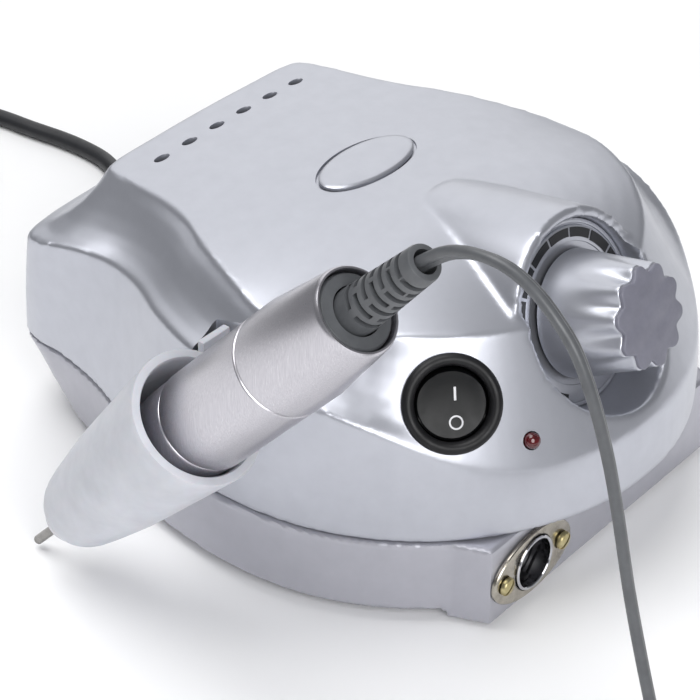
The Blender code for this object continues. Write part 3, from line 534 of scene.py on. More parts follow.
def dome_z(x, y):
    """Height of the crowned roof."""
    ahead = y + 8.0
    centre = 78.5 - (0.0052 if ahead < 0 else 0.00078) * ahead ** 2
    return centre - (0.0025 - 0.0021 * min(max(y / 68.0, 0.0), 1.0)) * x ** 2


def seam_curve(z, samples):
    return closed_curve([(x, y, z) for x, y in front_arc(FRONT_R) + SEAM_SIDE], samples)


def floor_curve(z, samples):
    return closed_curve([(x, y, z) for x, y in front_arc(FRONT_R) + FLOOR_SIDE], samples)


def shell_rings(samples, rows):
    """Rings of the top shell from the seam over the crease and the hollow slope to the roof."""
    seam = seam_curve(SEAM_Z + GAP / 2, samples)
    plan = front_arc(FRONT_R - 0.3) + CREASE_SIDE
    crease = closed_curve([(x, y, z) for (x, y), z in zip(plan, CREASE_Z)], samples)
    arc = [(x * r, y * r) for (x, y), r in zip(front_arc(1.0), TOP_RADII)]
    top = closed_curve([(x, y, dome_z(x, y)) for x, y in arc + TOP_SIDE], samples)
    rings = [seam]
    for k in range(1, rows):
        t = k / rows
        rings.append([a.lerp(b, t) + Vector((a.x, a.y, 0)).normalized() * 1.6 * t * (1 - t)
                      for a, b in zip(seam, crease)])
    rings.append(crease)
    for k in range(1, rows + 1):
        t = k / rows
        ring = []
        for a, b in zip(crease, top):
            hollow = 2.6 if a.y > -32 else 2.6 * max(0.0, (a.y + 52) / 20)
            outward = Vector((a.x, a.y, 0)).normalized() * 0.6 + Vector((0, 0, 0.8))
            ring.append(a.lerp(b, t) - outward * hollow * 4 * t * (1 - t))
        rings.append(ring)
    hub = Vector((0, 8, 0))
    for k in range(1, 2 * rows + 2):
        f = 1 - k / (2 * rows + 2.5)
        ring = [hub + (p - hub) * f for p in top]
        rings.append([Vector((q.x, q.y, dome_z(q.x, q.y))) for q in ring])
    return rings, Vector((0, 8, dome_z(0, 8)))


def pod_solid(sides=96):
    """Tapered housing of the speed knob, from its round mouth back into the roof."""
    stations = []
    for k in range(11):
        t = k / 10
        stations.append((Vector((0, -49 + 41 * t, 61 - 1.7 * t)), POD_R - 4.4 * t, POD_TILT * (1 - t)))
    for k in range(1, 9):
        a = pi / 2 * k / 9
        stations.append((Vector((0, -8 + 8.6 * sin(a), 59.3)), 20.6 * cos(a) ** 0.8, 0.0))
    rings = []
    for centre, radius, tilt in stations:
        up = Vector((0, sin(tilt), cos(tilt)))
        rings.append([centre + radius * (Vector((1, 0, 0)) * sin(a) + up * cos(a))
                      for a in (2 * pi * i / sides for i in range(sides))])
    return loft("pod", rings, Vector((0, 0.8, 59.3)))


def drawn_in(rings, peak, depth, floor_z):
    """Inner solid of the shell: the skin moved inwards, its underside pushed down out of the way."""
    solid = loft("hollow", rings, peak)
    mesh = solid.data
    moved = []
    for v in mesh.vertices:
        normal = v.normal.copy()
        low = v.co.z < SEAM_Z + GAP
        if low:
            normal = Vector((normal.x, normal.y, 0)).normalized()
        co = v.co - normal * depth
        moved.append(Vector((co.x, co.y, floor_z)) if low else co)
    for v, co in zip(mesh.vertices, moved):
        v.co = co
    return solid


# ------------------------------------------------------------------ cords
def smooth_route(points, step):
    """Smooth curve through given points, read at an even spacing."""
    pts = [Vector(p) for p in points]
    pts = [2 * pts[0] - pts[1]] + pts + [2 * pts[-1] - pts[-2]]
    runs = zip(pts, pts[1:], pts[2:], pts[3:])
    fine = [curve_between(*four, s / 24) for four in runs for s in range(24)]
    fine.append(pts[-2])
    out, carried = [fine[0]], 0.0
    for p, q in zip(fine, fine[1:]):
        carried += (q - p).length
        if carried >= step:
            out.append(q)
            carried = 0.0
    return out


def coil_turns(centre, middle, pitch, rise, start, turns, low):
    """Points of a neat coil, three turns wide, that snakes from its outside inwards and back."""
    snake = [(2, 0), (1, 0), (0, 0), (0, 1), (1, 1), (2, 1), (2, 2), (1, 2)]
    points = []
    for i in range(int(turns * 40) + 1):
        k = min(i // 40, len(snake) - 2)
        t = i / 40 - k
        ease = max(0.0, (t - 0.8) / 0.2)
        ease = ease * ease * (3 - 2 * ease)
        col = snake[k][0] + (snake[k + 1][0] - snake[k][0]) * ease
        row = snake[k][1] + (snake[k + 1][1] - snake[k][1]) * ease
        angle = start + 2 * pi * i / 40
        radius = middle + (col - 1) * pitch
        points.append(centre + Vector((radius * cos(angle), radius * sin(angle), low + row * rise)))
    return points


def swept(name, path, outline, lean=None):
    """Tube along a path; the outline's first axis stays level unless lean gives a turn for each point."""
    bm = bmesh.new()
    rows = []
    for i, p in enumerate(path):
        ahead = (path[min(i + 1, len(path) - 1)] - path[max(i - 1, 0)]).normalized()
        side = ahead.cross(Vector((0, 0, 1))).normalized()
        over = side.cross(ahead)
        if lean:
            side, over = side * cos(lean[i]) + over * sin(lean[i]), over * cos(lean[i]) - side * sin(lean[i])
        rows.append([bm.verts.new(p + side * u + over * v) for u, v in outline])
    for low, high in zip(rows, rows[1:]):
        for i in range(len(low)):
            j = (i + 1) % len(low)
            bm.faces.new((low[i], low[j], high[j], high[i]))
    bm.faces.new(rows[0][::-1])
    bm.faces.new(rows[-1])
    return from_mesh(name, bm)


def round_outline(radius, sides=18):
    return [(radius * cos(2 * pi * i / sides), radius * sin(2 * pi * i / sides)) for i in range(sides)]


def twin_outline(width, thick, steps=9):
    """Two touching strands side by side, with the groove between them."""
    r = thick / 2
    c = width / 2 - r
    reach = pi - 0.72
    right = [(c + r * cos(-reach + 2 * reach * i / steps), r * sin(-reach + 2 * reach * i / steps))
             for i in range(steps + 1)]
    return right + [(-x, -y) for x, y in right]


def tie(name, centre, middle, width, height, angle, finish):
    """Hook-and-loop band wrapped round a coil."""
    out = Vector((cos(angle), sin(angle), 0))
    side = Vector((-sin(angle), cos(angle), 0))
    half_w, half_h, corner = width / 2 + 0.5, height / 2 + 0.3, 2.0
    bm = bmesh.new()
    rows = []
    for k in range(32):
        a = 2 * pi * k / 32
        u = (half_w - corner) * (1 if cos(a) > 0 else -1) + corner * cos(a)
        v = (half_h - corner) * (1 if sin(a) > 0 else -1) + corner * sin(a)
        base = centre + out * (middle + u) + Vector((0, 0, half_h + v + 0.05))
        inward = (out * cos(a) + Vector((0, 0, sin(a)))) * -0.7
        section = ((-5, 0), (5, 0), (5, 1), (-5, 1))
        rows.append([bm.verts.new(base + side * s + inward * d) for s, d in section])
    for low, high in zip(rows, rows[1:] + rows[:1]):
        for i in range(4):
            bm.faces.new((low[i], low[(i + 1) % 4], high[(i + 1) % 4], high[i]))
    piece = from_mesh(name, bm)
    soften(piece, 0.2, 1, 50)
    return carry(piece, finish, "root")


# ------------------------------------------------------------------ settings
class DrillColours(PropertyGroup):
    """Colours of the nail drill's finishes."""
    shell: FloatVectorProperty(name="Top shell", description="Silver lacquer of the top shell and knob",
                               subtype="COLOR", size=4, min=0, max=1, default=linear("#BFC1C9"))
    base: FloatVectorProperty(name="Base", description="Darker lacquer of the base tray",
                              subtype="COLOR", size=4, min=0, max=1, default=linear("#B4B4BC"))
    cup: FloatVectorProperty(name="Holder cup", description="Frosted plastic of the holder",
                             subtype="COLOR", size=4, min=0, max=1, default=linear("#CBCDD4"))
    barrel: FloatVectorProperty(name="Handpiece", description="Satin aluminium of the handpiece",
                                subtype="COLOR", size=4, min=0, max=1, default=linear("#CFCDD2"))
    knob_end: FloatVectorProperty(name="Knob end", description="Grey foil on the end of the speed knob",
                                  subtype="COLOR", size=4, min=0, max=1, default=linear("#787884"))
    black: FloatVectorProperty(name="Black plastic", description="Switches, sockets and fuse holder",
                               subtype="COLOR", size=4, min=0, max=1, default=linear("#1A1A1C"))
    cord: FloatVectorProperty(name="Handpiece cord",
                              description="Grey vinyl of the handpiece cord and its boot",
                              subtype="COLOR", size=4, min=0, max=1, default=linear("#5C5E61"))
    lamp: FloatVectorProperty(name="Lamp", description="Red of the running lamp",
                              subtype="COLOR", size=4, min=0, max=1, default=linear("#5E0E14"))


class DrillSizes(PropertyGroup):
    """Small sizes of the nail drill, in millimetres."""
    skin: FloatProperty(name="Shell mesh", description="Mesh size of the lacquered shell",
                        default=0.85, min=0.6, max=3.0)
    flute: FloatProperty(name="Flute depth", description="Depth of the finger flutes at the knob's front end",
                         default=1.9, min=0.0, max=3.0)
    groove: FloatProperty(name="Badge groove", description="Depth of the groove round the badge plate",
                          default=0.9, min=0.2, max=2.0)
    flutes: IntProperty(name="Flutes", description="Number of finger flutes round the knob", default=10,
                        min=6, max=20)
    slots: IntProperty(name="Boot slots", description="Rows of slots in the cord's boot", default=7, min=3,
                       max=10)


# ------------------------------------------------------------------ stage
def add_lamp(name, at, aim, size, power, colour="#FFFFFF"):
    light = bpy.data.lights.new(name, "AREA")
    light.shape = "DISK"
    light.size = size
    light.energy = power
    light.color = linear(colour)[:3]
    lamp = bpy.data.objects.new(name, light)
    lamp.location = at
    lamp.rotation_mode = "QUATERNION"
    lamp.rotation_quaternion = (Vector(aim) - Vector(at)).to_track_quat("-Z", "Y")
    bpy.context.scene.collection.objects.link(lamp)


class NAILDRILL_OT_stage(Operator):
    """Camera, soft studio lights, surroundings and a pale tabletop"""
    bl_idname = "naildrill.stage"
    bl_label = "Stage"
    bl_options = {"REGISTER", "UNDO"}

    def execute(self, context):
        make_finishes(context.scene.drill_colours)
        cam = bpy.data.objects.new("camera", bpy.data.cameras.new("camera"))
        context.scene.collection.objects.link(cam)
        back = Vector((-0.64337163, -0.52285394, 0.5591929)).normalized()
        right = Vector((0.6307, -0.7760, 0)).normalized()
        turn = Matrix((right, back.cross(right), back)).transposed()
        cam.matrix_world = Matrix.Translation((-0.40837, -0.34659, 0.39171)) @ turn.to_4x4()
        cam.data.lens, cam.data.sensor_width = 133.5, 36.0
        cam.data.clip_start = 0.01
        context.scene.camera = cam
        context.scene.view_settings.view_transform = "Standard"
        add_lamp("front_softbox", (-0.62, -0.98, 0.72), (0, 0, 0.04), 0.9, 11.0)
        add_lamp("rear_softbox", (0.95, 0.85, 0.80), (0, 0, 0.05), 1.6, 6.0)
        add_lamp("overhead_softbox", (-0.2, 0.3, 1.4), (0, 0, 0.05), 1.2, 14.0)
        world = bpy.data.worlds.new("studio_surround")
        world.use_nodes = True
        surround = world.node_tree.nodes["Background"]
        surround.inputs["Color"].default_value = linear("#F4F6FB")
        surround.inputs["Strength"].default_value = 0.22
        context.scene.world = world
        drop_selection()
        bpy.ops.mesh.primitive_plane_add(size=6, location=(0, 0, 0))
        floor = context.object
        floor.name = floor.data.name = "tabletop"
        floor.data.materials.append(FINISH["floor"])
        return {"FINISHED"}


# ------------------------------------------------------------------ cords
class NAILDRILL_OT_handpiece_cord(Operator):
    """Flat twin cord from the handpiece to its coil, and the round plug on its end"""
    bl_idname = "naildrill.handpiece_cord"
    bl_label = "Handpiece cord"
    bl_options = {"REGISTER", "UNDO"}

    def execute(self, context):
        leaving = HAND_TIP + hand_axis() * (BOOT_END + GAP)
        path = smooth_route([leaving - hand_axis() * 6, leaving] + HAND_ROUTE, 1.8)
        path += coil_turns(HAND_COIL, 22.0, CORD_W, 2.6, pi, 6.25, 1.35)
        path += smooth_route([(-62, -202.4, 6.6), (-56, -202.4, 7.1), (-50, -202.4, 7.5), (-44, -202.4, 7.6)],
                             1.8)
        # the flat section turns to face up and out while it hangs, and lies flat on the table
        lean = [radians(CORD_LEAN) * min(1, max(0, (p.z - 6) / 30)) for p in path]
        cord = swept("handpiece_cord_flex", path, twin_outline(CORD_W, CORD_T), lean)
        cord.data.transform(ROOT)
        cord.data.materials.append(FINISH["grey"])
        take(cord)
        bpy.ops.object.shade_smooth_by_angle(angle=radians(40))
        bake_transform(cord)
        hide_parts("handpiece_cord", "handpiece_coil")
        band = tie("handpiece_cord_tie", HAND_COIL, 22.0, 14.0, 8.4, radians(60), "rubber")
        body = turned("handpiece_plug_grip", [(2.4, 0), (2.9, 0.4), (3.1, 4), (2.7, 4.3), (2.7, 5),
                                              (3.2, 5.3), (3.4, 9),
                                              (3.0, 9.3), (3.0, 10), (6.0, 12), (7.2, 14), (7.2, 30),
                                              (6.6, 31)],
                      placed(DIN_PLUG, (1, 0, 0)), 64, edge=0.15)
        ribs = [turned("rib", [(7.6, 15 + 2.2 * k), (7.6, 16 + 2.2 * k), (6.9, 16.3 + 2.2 * k),
                               (6.9, 14.7 + 2.2 * k)],
                       placed(DIN_PLUG, (1, 0, 0)), 64, ring=True) for k in range(6)]
        grip = merged("handpiece_plug_grip", [body] + ribs)
        carry(grip, "grey", "root", ["din_plug"])
        nose = turned("handpiece_plug_shell", [(6.0, 31), (6.0, 40.6), (5.8, 41), (5.5, 41), (5.4, 34),
                                               (5.9, 31)],
                      placed(DIN_PLUG, (1, 0, 0)), 64, ring=True)
        carry(nose, "nickel", "root")
        pins = []
        for k in range(5):
            a = radians(-90 + 45 * k)
            at = placed(DIN_PLUG, (1, 0, 0)) @ Matrix.Translation((3.4 * sin(a), 3.4 * cos(a), 0))
            pins.append(turned("pin", [(0.6, 33), (0.6, 39.4), (0.3, 40)], at, 12))
        wafer = turned("wafer", [(5.3, 33), (5.3, 34.5)], placed(DIN_PLUG, (1, 0, 0)), 48)
        contacts = carry(merged("handpiece_plug_pins", pins), "brass", "root")
        carry(wafer, "black", "root")
        wafer.name = "handpiece_plug_wafer"
        return {"FINISHED"}


class NAILDRILL_OT_mains_lead(Operator):
    """Round mains lead from the rear gland to its coil, and the two-pin plug on its end"""
    bl_idname = "naildrill.mains_lead"
    bl_label = "Mains lead"
    bl_options = {"REGISTER", "UNDO"}

    def execute(self, context):
        path = smooth_route(MAINS_ROUTE, 1.8)
        path += coil_turns(MAINS_COIL, 27.5, MAINS_D, MAINS_D, radians(48), 6.117, 2.55)
        path += smooth_route([(-2, 246.5, 12.6), (-8, 246.6, 12.4), (-14, 246.6, 11.2), (-20, 246.5, 9.2),
                              (-25, 246.5, 8.3), (-29, 246.5, 8.2)], 1.8)
        lead = swept("mains_lead_flex", path, round_outline(MAINS_D / 2))
        lead = carry(lead, "mains", "root", ["mains_cord", "mains_coil"], 40)
        band = tie("mains_lead_tie", MAINS_COIL, 27.5, 15.4, 15.4, radians(-60), "rubber")
        place = placed(MAINS_PLUG, (-1, 0, 0))
        levels = [(2.5, 0), (2.9, 0.4)]
        for k in range(4):
            z = 1.2 + 2.6 * k
            levels += [(2.95 + 0.15 * k, z), (2.55 + 0.15 * k, z + 0.4), (2.55 + 0.15 * k, z + 1.2),
                       (3.0 + 0.15 * k, z + 1.6)]
        levels += [(3.6, 12), (7.2, 16), (7.8, 20), (7.8, 36), (6.6, 38)]
        grip = turned("mains_plug_body", levels, place, 64, edge=0.12)
        for k in range(4):
            for side in (-1, 1):
                low, high = Vector((-3.5, 6.9, 21 + 3.4 * k)), Vector((3.5, 9, 22.4 + 3.4 * k))
                turn = Matrix.Rotation(0 if side > 0 else pi, 4, "Z")
                combine(grip, block("grip_cut", low, high, place @ turn))
        carry(grip, "mains", "root", ["mains_plug"])
        pins, sleeves = [], []
        for side in (-1, 1):
            at = place @ Matrix.Translation((0, side * 4.6, 0))
            pins.append(turned("pin", [(2.0, 47), (2.0, 54.6), (1.7, 55.6), (1.1, 56)], at, 32))
            sleeves.append(turned("sleeve", [(2.0, 37), (2.0, 46.9)], at, 32))
        contacts = carry(merged("mains_plug_pins", pins), "nickel", "root")
        skirts = carry(merged("mains_plug_sleeves", sleeves), "black", "root")
        levels = [(6.4, 1.4), (6.6, 1.8), (6.4, 3.0), (4.6, 5.0)]
        for k in range(6):
            z, r = 6 + 3 * k, 4.5 - 0.15 * k
            levels += [(r, z), (r - 0.5, z + 0.3), (r - 0.5, z + 1.3), (r - 0.08, z + 1.6)]
        levels += [(3.6, 24), (2.7, 24), (2.7, -5), (4.0, -5), (4.0, 1.4)]
        carry(turned("mains_gland_boot", levels, rear(GLAND), 64, ring=True, edge=0.1), "rubber", "root",
              ["mains_gland"])
        return {"FINISHED"}


# ------------------------------------------------------------------ housing
def skinned(piece, voxel, rounds):
    """Remesh a joined solid evenly and relax it, which rounds its edges as a mould does."""
    apply_modifier(piece, "REMESH", mode="VOXEL", voxel_size=voxel, use_smooth_shade=True)
    apply_modifier(piece, "SMOOTH", factor=0.5, iterations=rounds)


class NAILDRILL_OT_top_shell(Operator):
    """Domed top shell with its speed-knob pod, vents and cut-outs"""
    bl_idname = "naildrill.top_shell"
    bl_label = "Top shell"
    bl_options = {"REGISTER", "UNDO"}

    def execute(self, context):
        sizes = context.scene.drill_sizes
        rings, peak = shell_rings(5, 5)
        shell = loft("top_shell_skin", rings, peak)
        combine(shell, pod_solid(), "UNION")
        mouth = pod_place()
        combine(shell, turned("bore", [(POD_BORE_R, DIAL_FACE - 1.9), (POD_BORE_R, 0),
                                       (POD_BORE_R + 2.6, 32)],
                              mouth))
        skinned(shell, sizes.skin, 4)
        rings, peak = shell_rings(2, 2)
        hollow = drawn_in(rings, peak, WALL, SEAM_Z - 5)
        wall = POD_BORE_R + WALL
        combine(hollow, turned("bore_wall", [(wall, DIAL_FACE - 4.3), (wall, 0), (wall + 2.6, 32)], mouth,
                               48))
        combine(shell, hollow)
        arc = [(radians(a), FRONT_R - 0.9) for a in range(32, -33, -8)]
        outline = [(-36, CHORD_Y + 0.2), (36, CHORD_Y + 0.2)] + [(r * sin(a), -r * cos(a)) for a, r in arc]
        combine(shell, prism("ledge", outline, SEAM_Z + GAP / 2, SEAM_Z + 2.6), "UNION")
        combine(shell, turned("bush", [(3.8, -12), (3.8, 0)], mouth, 32))
        for k in (-5, -3, -1, 1, 3, 5):
            x = 5.1 * k
            combine(shell, turned("vent", [(2.3, -6), (2.3, -0.5), (2.75, 0.6)],
                                  Matrix.Translation((x, 60, dome_z(x, 60))), 40, squeeze=0.52))
        combine(shell, turned("badge_seat", [(16.3, -sizes.groove), (16.6, 0), (17.2, 1.2)], badge_place(),
                              96, squeeze=0.518))
        seat = switch_place()
        combine(shell, turned("switch_seat", [(11.8, -0.6), (11.8, 12)], seat))
        combine(shell, turned("switch_hole", [(9.9, -9), (9.9, 2)], seat))
        combine(shell, turned("lamp_hole", [(LED_R + 0.3, -8), (LED_R + 0.3, -0.2), (LED_R + 0.8, 0.6)],
                              led_place(), 40))
        combine(shell, block("holder_slot", (-76, -4, 56), (-59, 13, 73), edge=1.2))
        combine(shell, block("direction_hole", (-6.7, -9.7, -16), (6.7, 9.7, 6), direction_place()))
        for x, y in POSTS:
            top = dome_z(x, y) - (1.2 if y < 0 else 9.0)
            combine(shell, turned("post", [(3.6, 6.2), (3.6, top)], Matrix.Translation((x, y, 0)), 32),
                    "UNION")
            combine(shell, turned("post_hole", [(1.8, 5), (1.8, 20)], Matrix.Translation((x, y, 0)), 24))
        carry(shell, "silver", "root", ["top_shell"], 38)
        return {"FINISHED"}


class NAILDRILL_OT_base_tray(Operator):
    """Base tray with its flat socket panel, feet and case screws"""
    bl_idname = "naildrill.base_tray"
    bl_label = "Base tray"
    bl_options = {"REGISTER", "UNDO"}

    def execute(self, context):
        seam = SEAM_Z - GAP / 2
        outline = floor_curve(BASE_Z, 5)
        foot = [Vector((p.x * 0.965, p.y * 0.965 + 0.4, BASE_Z)) for p in outline]
        rings = [[Vector((p.x, p.y, FOOT_H)) for p in foot], foot, outline]
        for z, t in ((7.0, 0.27), (11.0, 0.5), (15.0, 0.68), (19.0, 0.85), (seam, 1.0)):
            rings.append([Vector((*a.lerp(b, t).xy, z)) for a, b in zip(outline, seam_curve(seam, 5))])
        tray = loft("base_tray_skin", rings)
        deep = [[Vector((p.x * 0.955, p.y * 0.955 + 0.5, 4.0)) for p in outline],
                [Vector((p.x * 0.965, p.y * 0.965 + 0.5, seam + 5)) for p in seam_curve(0, 5)]]
        combine(tray, loft("hollow", deep))
        combine(tray, block("panel_cut", (1 - CHORD_X, -80, -1), (CHORD_X - 1, CHORD_Y, 30)))
        combine(tray, block("panel", (-CHORD_X, CHORD_Y, FOOT_H + 0.1), (CHORD_X, CHORD_Y + 2.4, seam - 0.1)),
                "UNION")
        for side in (-1, 1):
            corner = [(side * 50, -47.8), (side * CHORD_X, CHORD_Y), (side * 40, CHORD_Y), (side * 40, -51)]
            combine(tray, prism("corner", corner, FOOT_H + 0.1, seam - 0.1), "UNION")
        skinned(tray, context.scene.drill_sizes.skin, 2)
        holes = [(placed(DIN_AT, (0, -1, 0)), 7.6, -8, 8)]
        for side in (-1, 1):
            holes.append((placed(DIN_AT + Vector((side * DIN_PITCH / 2, 0, 0)), (0, -1, 0)), 1.35, -8, 8))
        holes += [(Matrix.Translation((x, y, 0)), 1.9, -2, 8) for x, y in POSTS]
        holes += [(Matrix.Translation((x, y, 0)), 3.4, -2, 2.6) for x, y in POSTS]
        holes += [(rear(GLAND), 4.3, -10, 8), (rear(JACK), 3.8, -10, 8), (rear(FUSE), 6.3, -10, 8)]
        for place, radius, low, high in holes:
            combine(tray, turned("hole", [(radius, low), (radius, high)], place, 48))
        carry(tray, "base", "root", ["base_tray"], 38)
        pads = []
        for x, y in FEET:
            pads.append(turned("foot", [(4.6, 0.02), (5.2, 0.4), (5.2, 1.18)], Matrix.Translation((x, y, 0)),
                               48, edge=0.08))
        carry(merged("rubber_feet", pads), "rubber", "root", [f"foot_{i}" for i in range(1, 5)])
        screws = []
        for x, y in POSTS:
            screw = turned("screw", [(2.9, 1.3), (2.9, 2.3), (1.4, 2.3), (1.4, 18)],
                           Matrix.Translation((x, y, 0)), 32, edge=0.15)
            combine(screw, block("slot_a", (x - 1.9, y - 0.3, 0.5), (x + 1.9, y + 0.3, 1.9)))
            combine(screw, block("slot_b", (x - 0.3, y - 1.9, 0.5), (x + 0.3, y + 1.9, 1.9)))
            screws.append(screw)
        carry(merged("case_screws", screws), "steel", "root",
              [f"case_screw_{i}" for i in range(1, 5)])
        return {"FINISHED"}


def badge_place():
    return placed((0, 16, dome_z(0, 16) - 0.1), (0, 0.037, 1), (0, 1, 0))


class NAILDRILL_OT_badge(Operator):
    """Blank oval badge plate sunk in the roof"""
    bl_idname = "naildrill.badge"
    bl_label = "Badge plate"
    bl_options = {"REGISTER", "UNDO"}

    def execute(self, context):
        plate = turned("badge_plate", [(15.7, -0.55), (15.7, 0.1), (15.2, 0.42), (14, 0.56), (11, 0.68),
                                       (7, 0.77), (3, 0.81), (0.6, 0.82)], badge_place(), 128, squeeze=0.49)
        carry(plate, "silver", "root", ["emblem_plate"], 40)
        return {"FINISHED"}


# ------------------------------------------------------------------ speed control
def fluted(piece, start, end, depth, count, power):
    """Press finger flutes into a turned piece between two heights, deeper towards the end."""
    for v in piece.data.vertices:
        t = min(max((v.co.z - start) / (end - start), 0.0), 1.0)
        radius = Vector((v.co.x, v.co.y)).length
        if t > 0 and radius > 1:
            angle = Vector((1, 0)).angle_signed(Vector((v.co.x, v.co.y)))
            wave = (0.5 + 0.5 * cos(count * angle)) ** power
            keep = (radius - depth * t ** 1.4 * wave * min(1.0, radius / 11.5)) / radius
            v.co.x *= keep
            v.co.y *= keep


class NAILDRILL_OT_speed_control(Operator):
    """Fluted speed knob, its grey end and the dial round it"""
    bl_idname = "naildrill.speed_control"
    bl_label = "Speed control"
    bl_options = {"REGISTER", "UNDO"}

    def execute(self, context):
        sizes = context.scene.drill_sizes
        mouth = pod_place()
        f = DIAL_FACE
        plate = turned("dial_plate_ring", [(14.0, f - 1.6), (22.1, f - 1.6), (22.1, f), (21.2, f),
                                           (21.1, f - 0.45),
                                           (20.7, f - 0.45), (20.6, f + 0.42), (16.9, f + 0.42), (16.9, f),
                                           (14.0, f)], mouth, 128, ring=True, edge=0.12)
        carry(plate, "silver", "root", ["dial_plate"])
        marks = bmesh.new()
        parts, start, sweep = 12, radians(150), radians(285)
        for i in range(parts):
            a0 = start - sweep * i / parts
            a1 = start - sweep * (i + 0.9) / parts
            turn = [a0 + (a1 - a0) * t / 8 for t in range(9)]
            inner = 19.2 - 2.2 * (i + 0.5) / parts
            edge = [Vector((-20.1 * sin(a), 20.1 * cos(a), f + 0.44)) for a in turn]
            edge += [Vector((-inner * sin(a), inner * cos(a), f + 0.44)) for a in turn[::-1]]
            face = marks.faces.new([marks.verts.new(p) for p in edge])
            raised = bmesh.ops.extrude_face_region(marks, geom=[face])["geom"]
            bmesh.ops.translate(marks, vec=(0, 0, 0.18),
                                verts=[v for v in raised if isinstance(v, bmesh.types.BMVert)])
        dial = from_mesh("dial_marks", marks)
        dial.data.transform(mouth)
        carry(dial, "scale", "root", ["scale_ring"])
        levels = [(3.1, 0), (14.9, 0), (15.2, 0.3), (15.05, 1.5), (14.8, 3), (14.45, 5.5)]
        levels += [(14.1 - 0.13 * k, 8 + k) for k in range(12)] + [(12.6, 19.9), (12.5, 20.2), (12.2, 20.4),
                                                                   (6, 20.4),
                                                                  (6, 12), (3.1, 12)]
        knob = turned("speed_knob_grip", levels, Matrix(), 240, ring=True)
        fluted(knob, 6.5, 20.0, sizes.flute, sizes.flutes, 1.3)
        knob.data.transform(knob_place())
        carry(knob, "silver", "speed_knob", ["speed_knob"], 40)
        cap = turned("speed_knob_end", [(12.3, 20.45), (12.3, 21.2), (12.1, 21.4), (11.7, 21.5)], Matrix(),
                     240)
        fluted(cap, 6.5, 20.0, sizes.flute + 0.1, sizes.flutes, 1.3)
        cap.data.transform(knob_place())
        carry(cap, "cap", "speed_knob", ["knob_cap"], 40)
        refinish("steel", "pot_shaft", "pot_nut")
        refinish("black", "pot_body")
        return {"FINISHED"}


# ------------------------------------------------------------------ power switch and lamp
def paddle_height(y):
    return 2.75 + 0.13 * y + 0.006 * y * y


class NAILDRILL_OT_power_switch(Operator):
    """Round rocker switch with its bezel and its I and O marks"""
    bl_idname = "naildrill.power_switch"
    bl_label = "Power switch"
    bl_options = {"REGISTER", "UNDO"}

    def execute(self, context):
        seat = switch_place()
        bezel = [(9.5, -13), (9.5, -0.3), (11.3, -0.3), (11.5, 0.0), (11.5, 0.6), (11.35, 1.15), (11.0, 1.6),
                 (10.5, 1.88), (10.0, 1.95), (9.5, 1.85), (9.0, 1.5), (8.7, 0.9), (8.6, 0.4), (8.6, -12),
                 (8.4, -12.6)]
        levels = [(1.0, -13)] + bezel + [(1.0, -12.4)]
        carry(turned("power_switch_bezel", levels, seat, 128, ring=True), "black", "root",
              ["switch_housing"], 30)
        levels = [(sqrt(8.4 ** 2 - z * z), z) for z in (-3, -2, -1, 0, 1, 2, 2.6)]
        levels += [(7.9, 2.85), (7.75, 3.0)] + [(r, 3.0) for r in (7.4, 6.6, 5.6, 4.6, 3.6, 2.6, 1.6, 0.6)]
        paddle = turned("power_rocker_paddle", levels, Matrix(), 96)
        for v in paddle.data.vertices:
            if v.co.z > 2.5:
                radius = Vector((v.co.x, v.co.y)).length
                dish = 0.0 if radius > 7 else 0.25 * (1 - (radius / 7) ** 4)
                v.co.z += paddle_height(v.co.y) - 3.0 - dish
                # the raised end must swing down inside the bezel, so it stays within the ball
                reach = min(1.0, sqrt(8.4 ** 2 - v.co.z ** 2) / radius)
                v.co.x, v.co.y = v.co.x * reach, v.co.y * reach
        pivot = seat @ Matrix.Translation((0, 0, -3.5))
        paddle.data.transform(pivot)
        carry(paddle, "rocker", "power_rocker", ["rocker"], 35)
        stroke = block("stroke", (0.6, 0.7, -0.3), (1.15, 3.8, 0.12), edge=0.05)
        nought = turned("nought", [(1.25, -0.3), (1.25, 0.12), (1.65, 0.12), (1.65, -0.3)],
                        Matrix.Translation((0.9, -4.3, 0)), 48, ring=True)
        for mark in (stroke, nought):
            for v in mark.data.vertices:
                v.co.z = paddle_height(v.co.y) - 0.25 * (1 - (abs(v.co.y) / 7) ** 4) + v.co.z * 0.4
        marks = merged("power_rocker_marks", [stroke, nought])
        marks.data.transform(pivot)
        carry(marks, "print", "power_rocker")
        lens = [(LED_R, -3.0), (LED_R, 0.2), (1.82, 0.6), (1.62, 1.0), (1.3, 1.35), (0.85, 1.6), (0.3, 1.7)]
        carry(turned("running_lamp_lens", lens, led_place(), 48), "lens", "root", ["led_lens"],
              45)
        return {"FINISHED"}


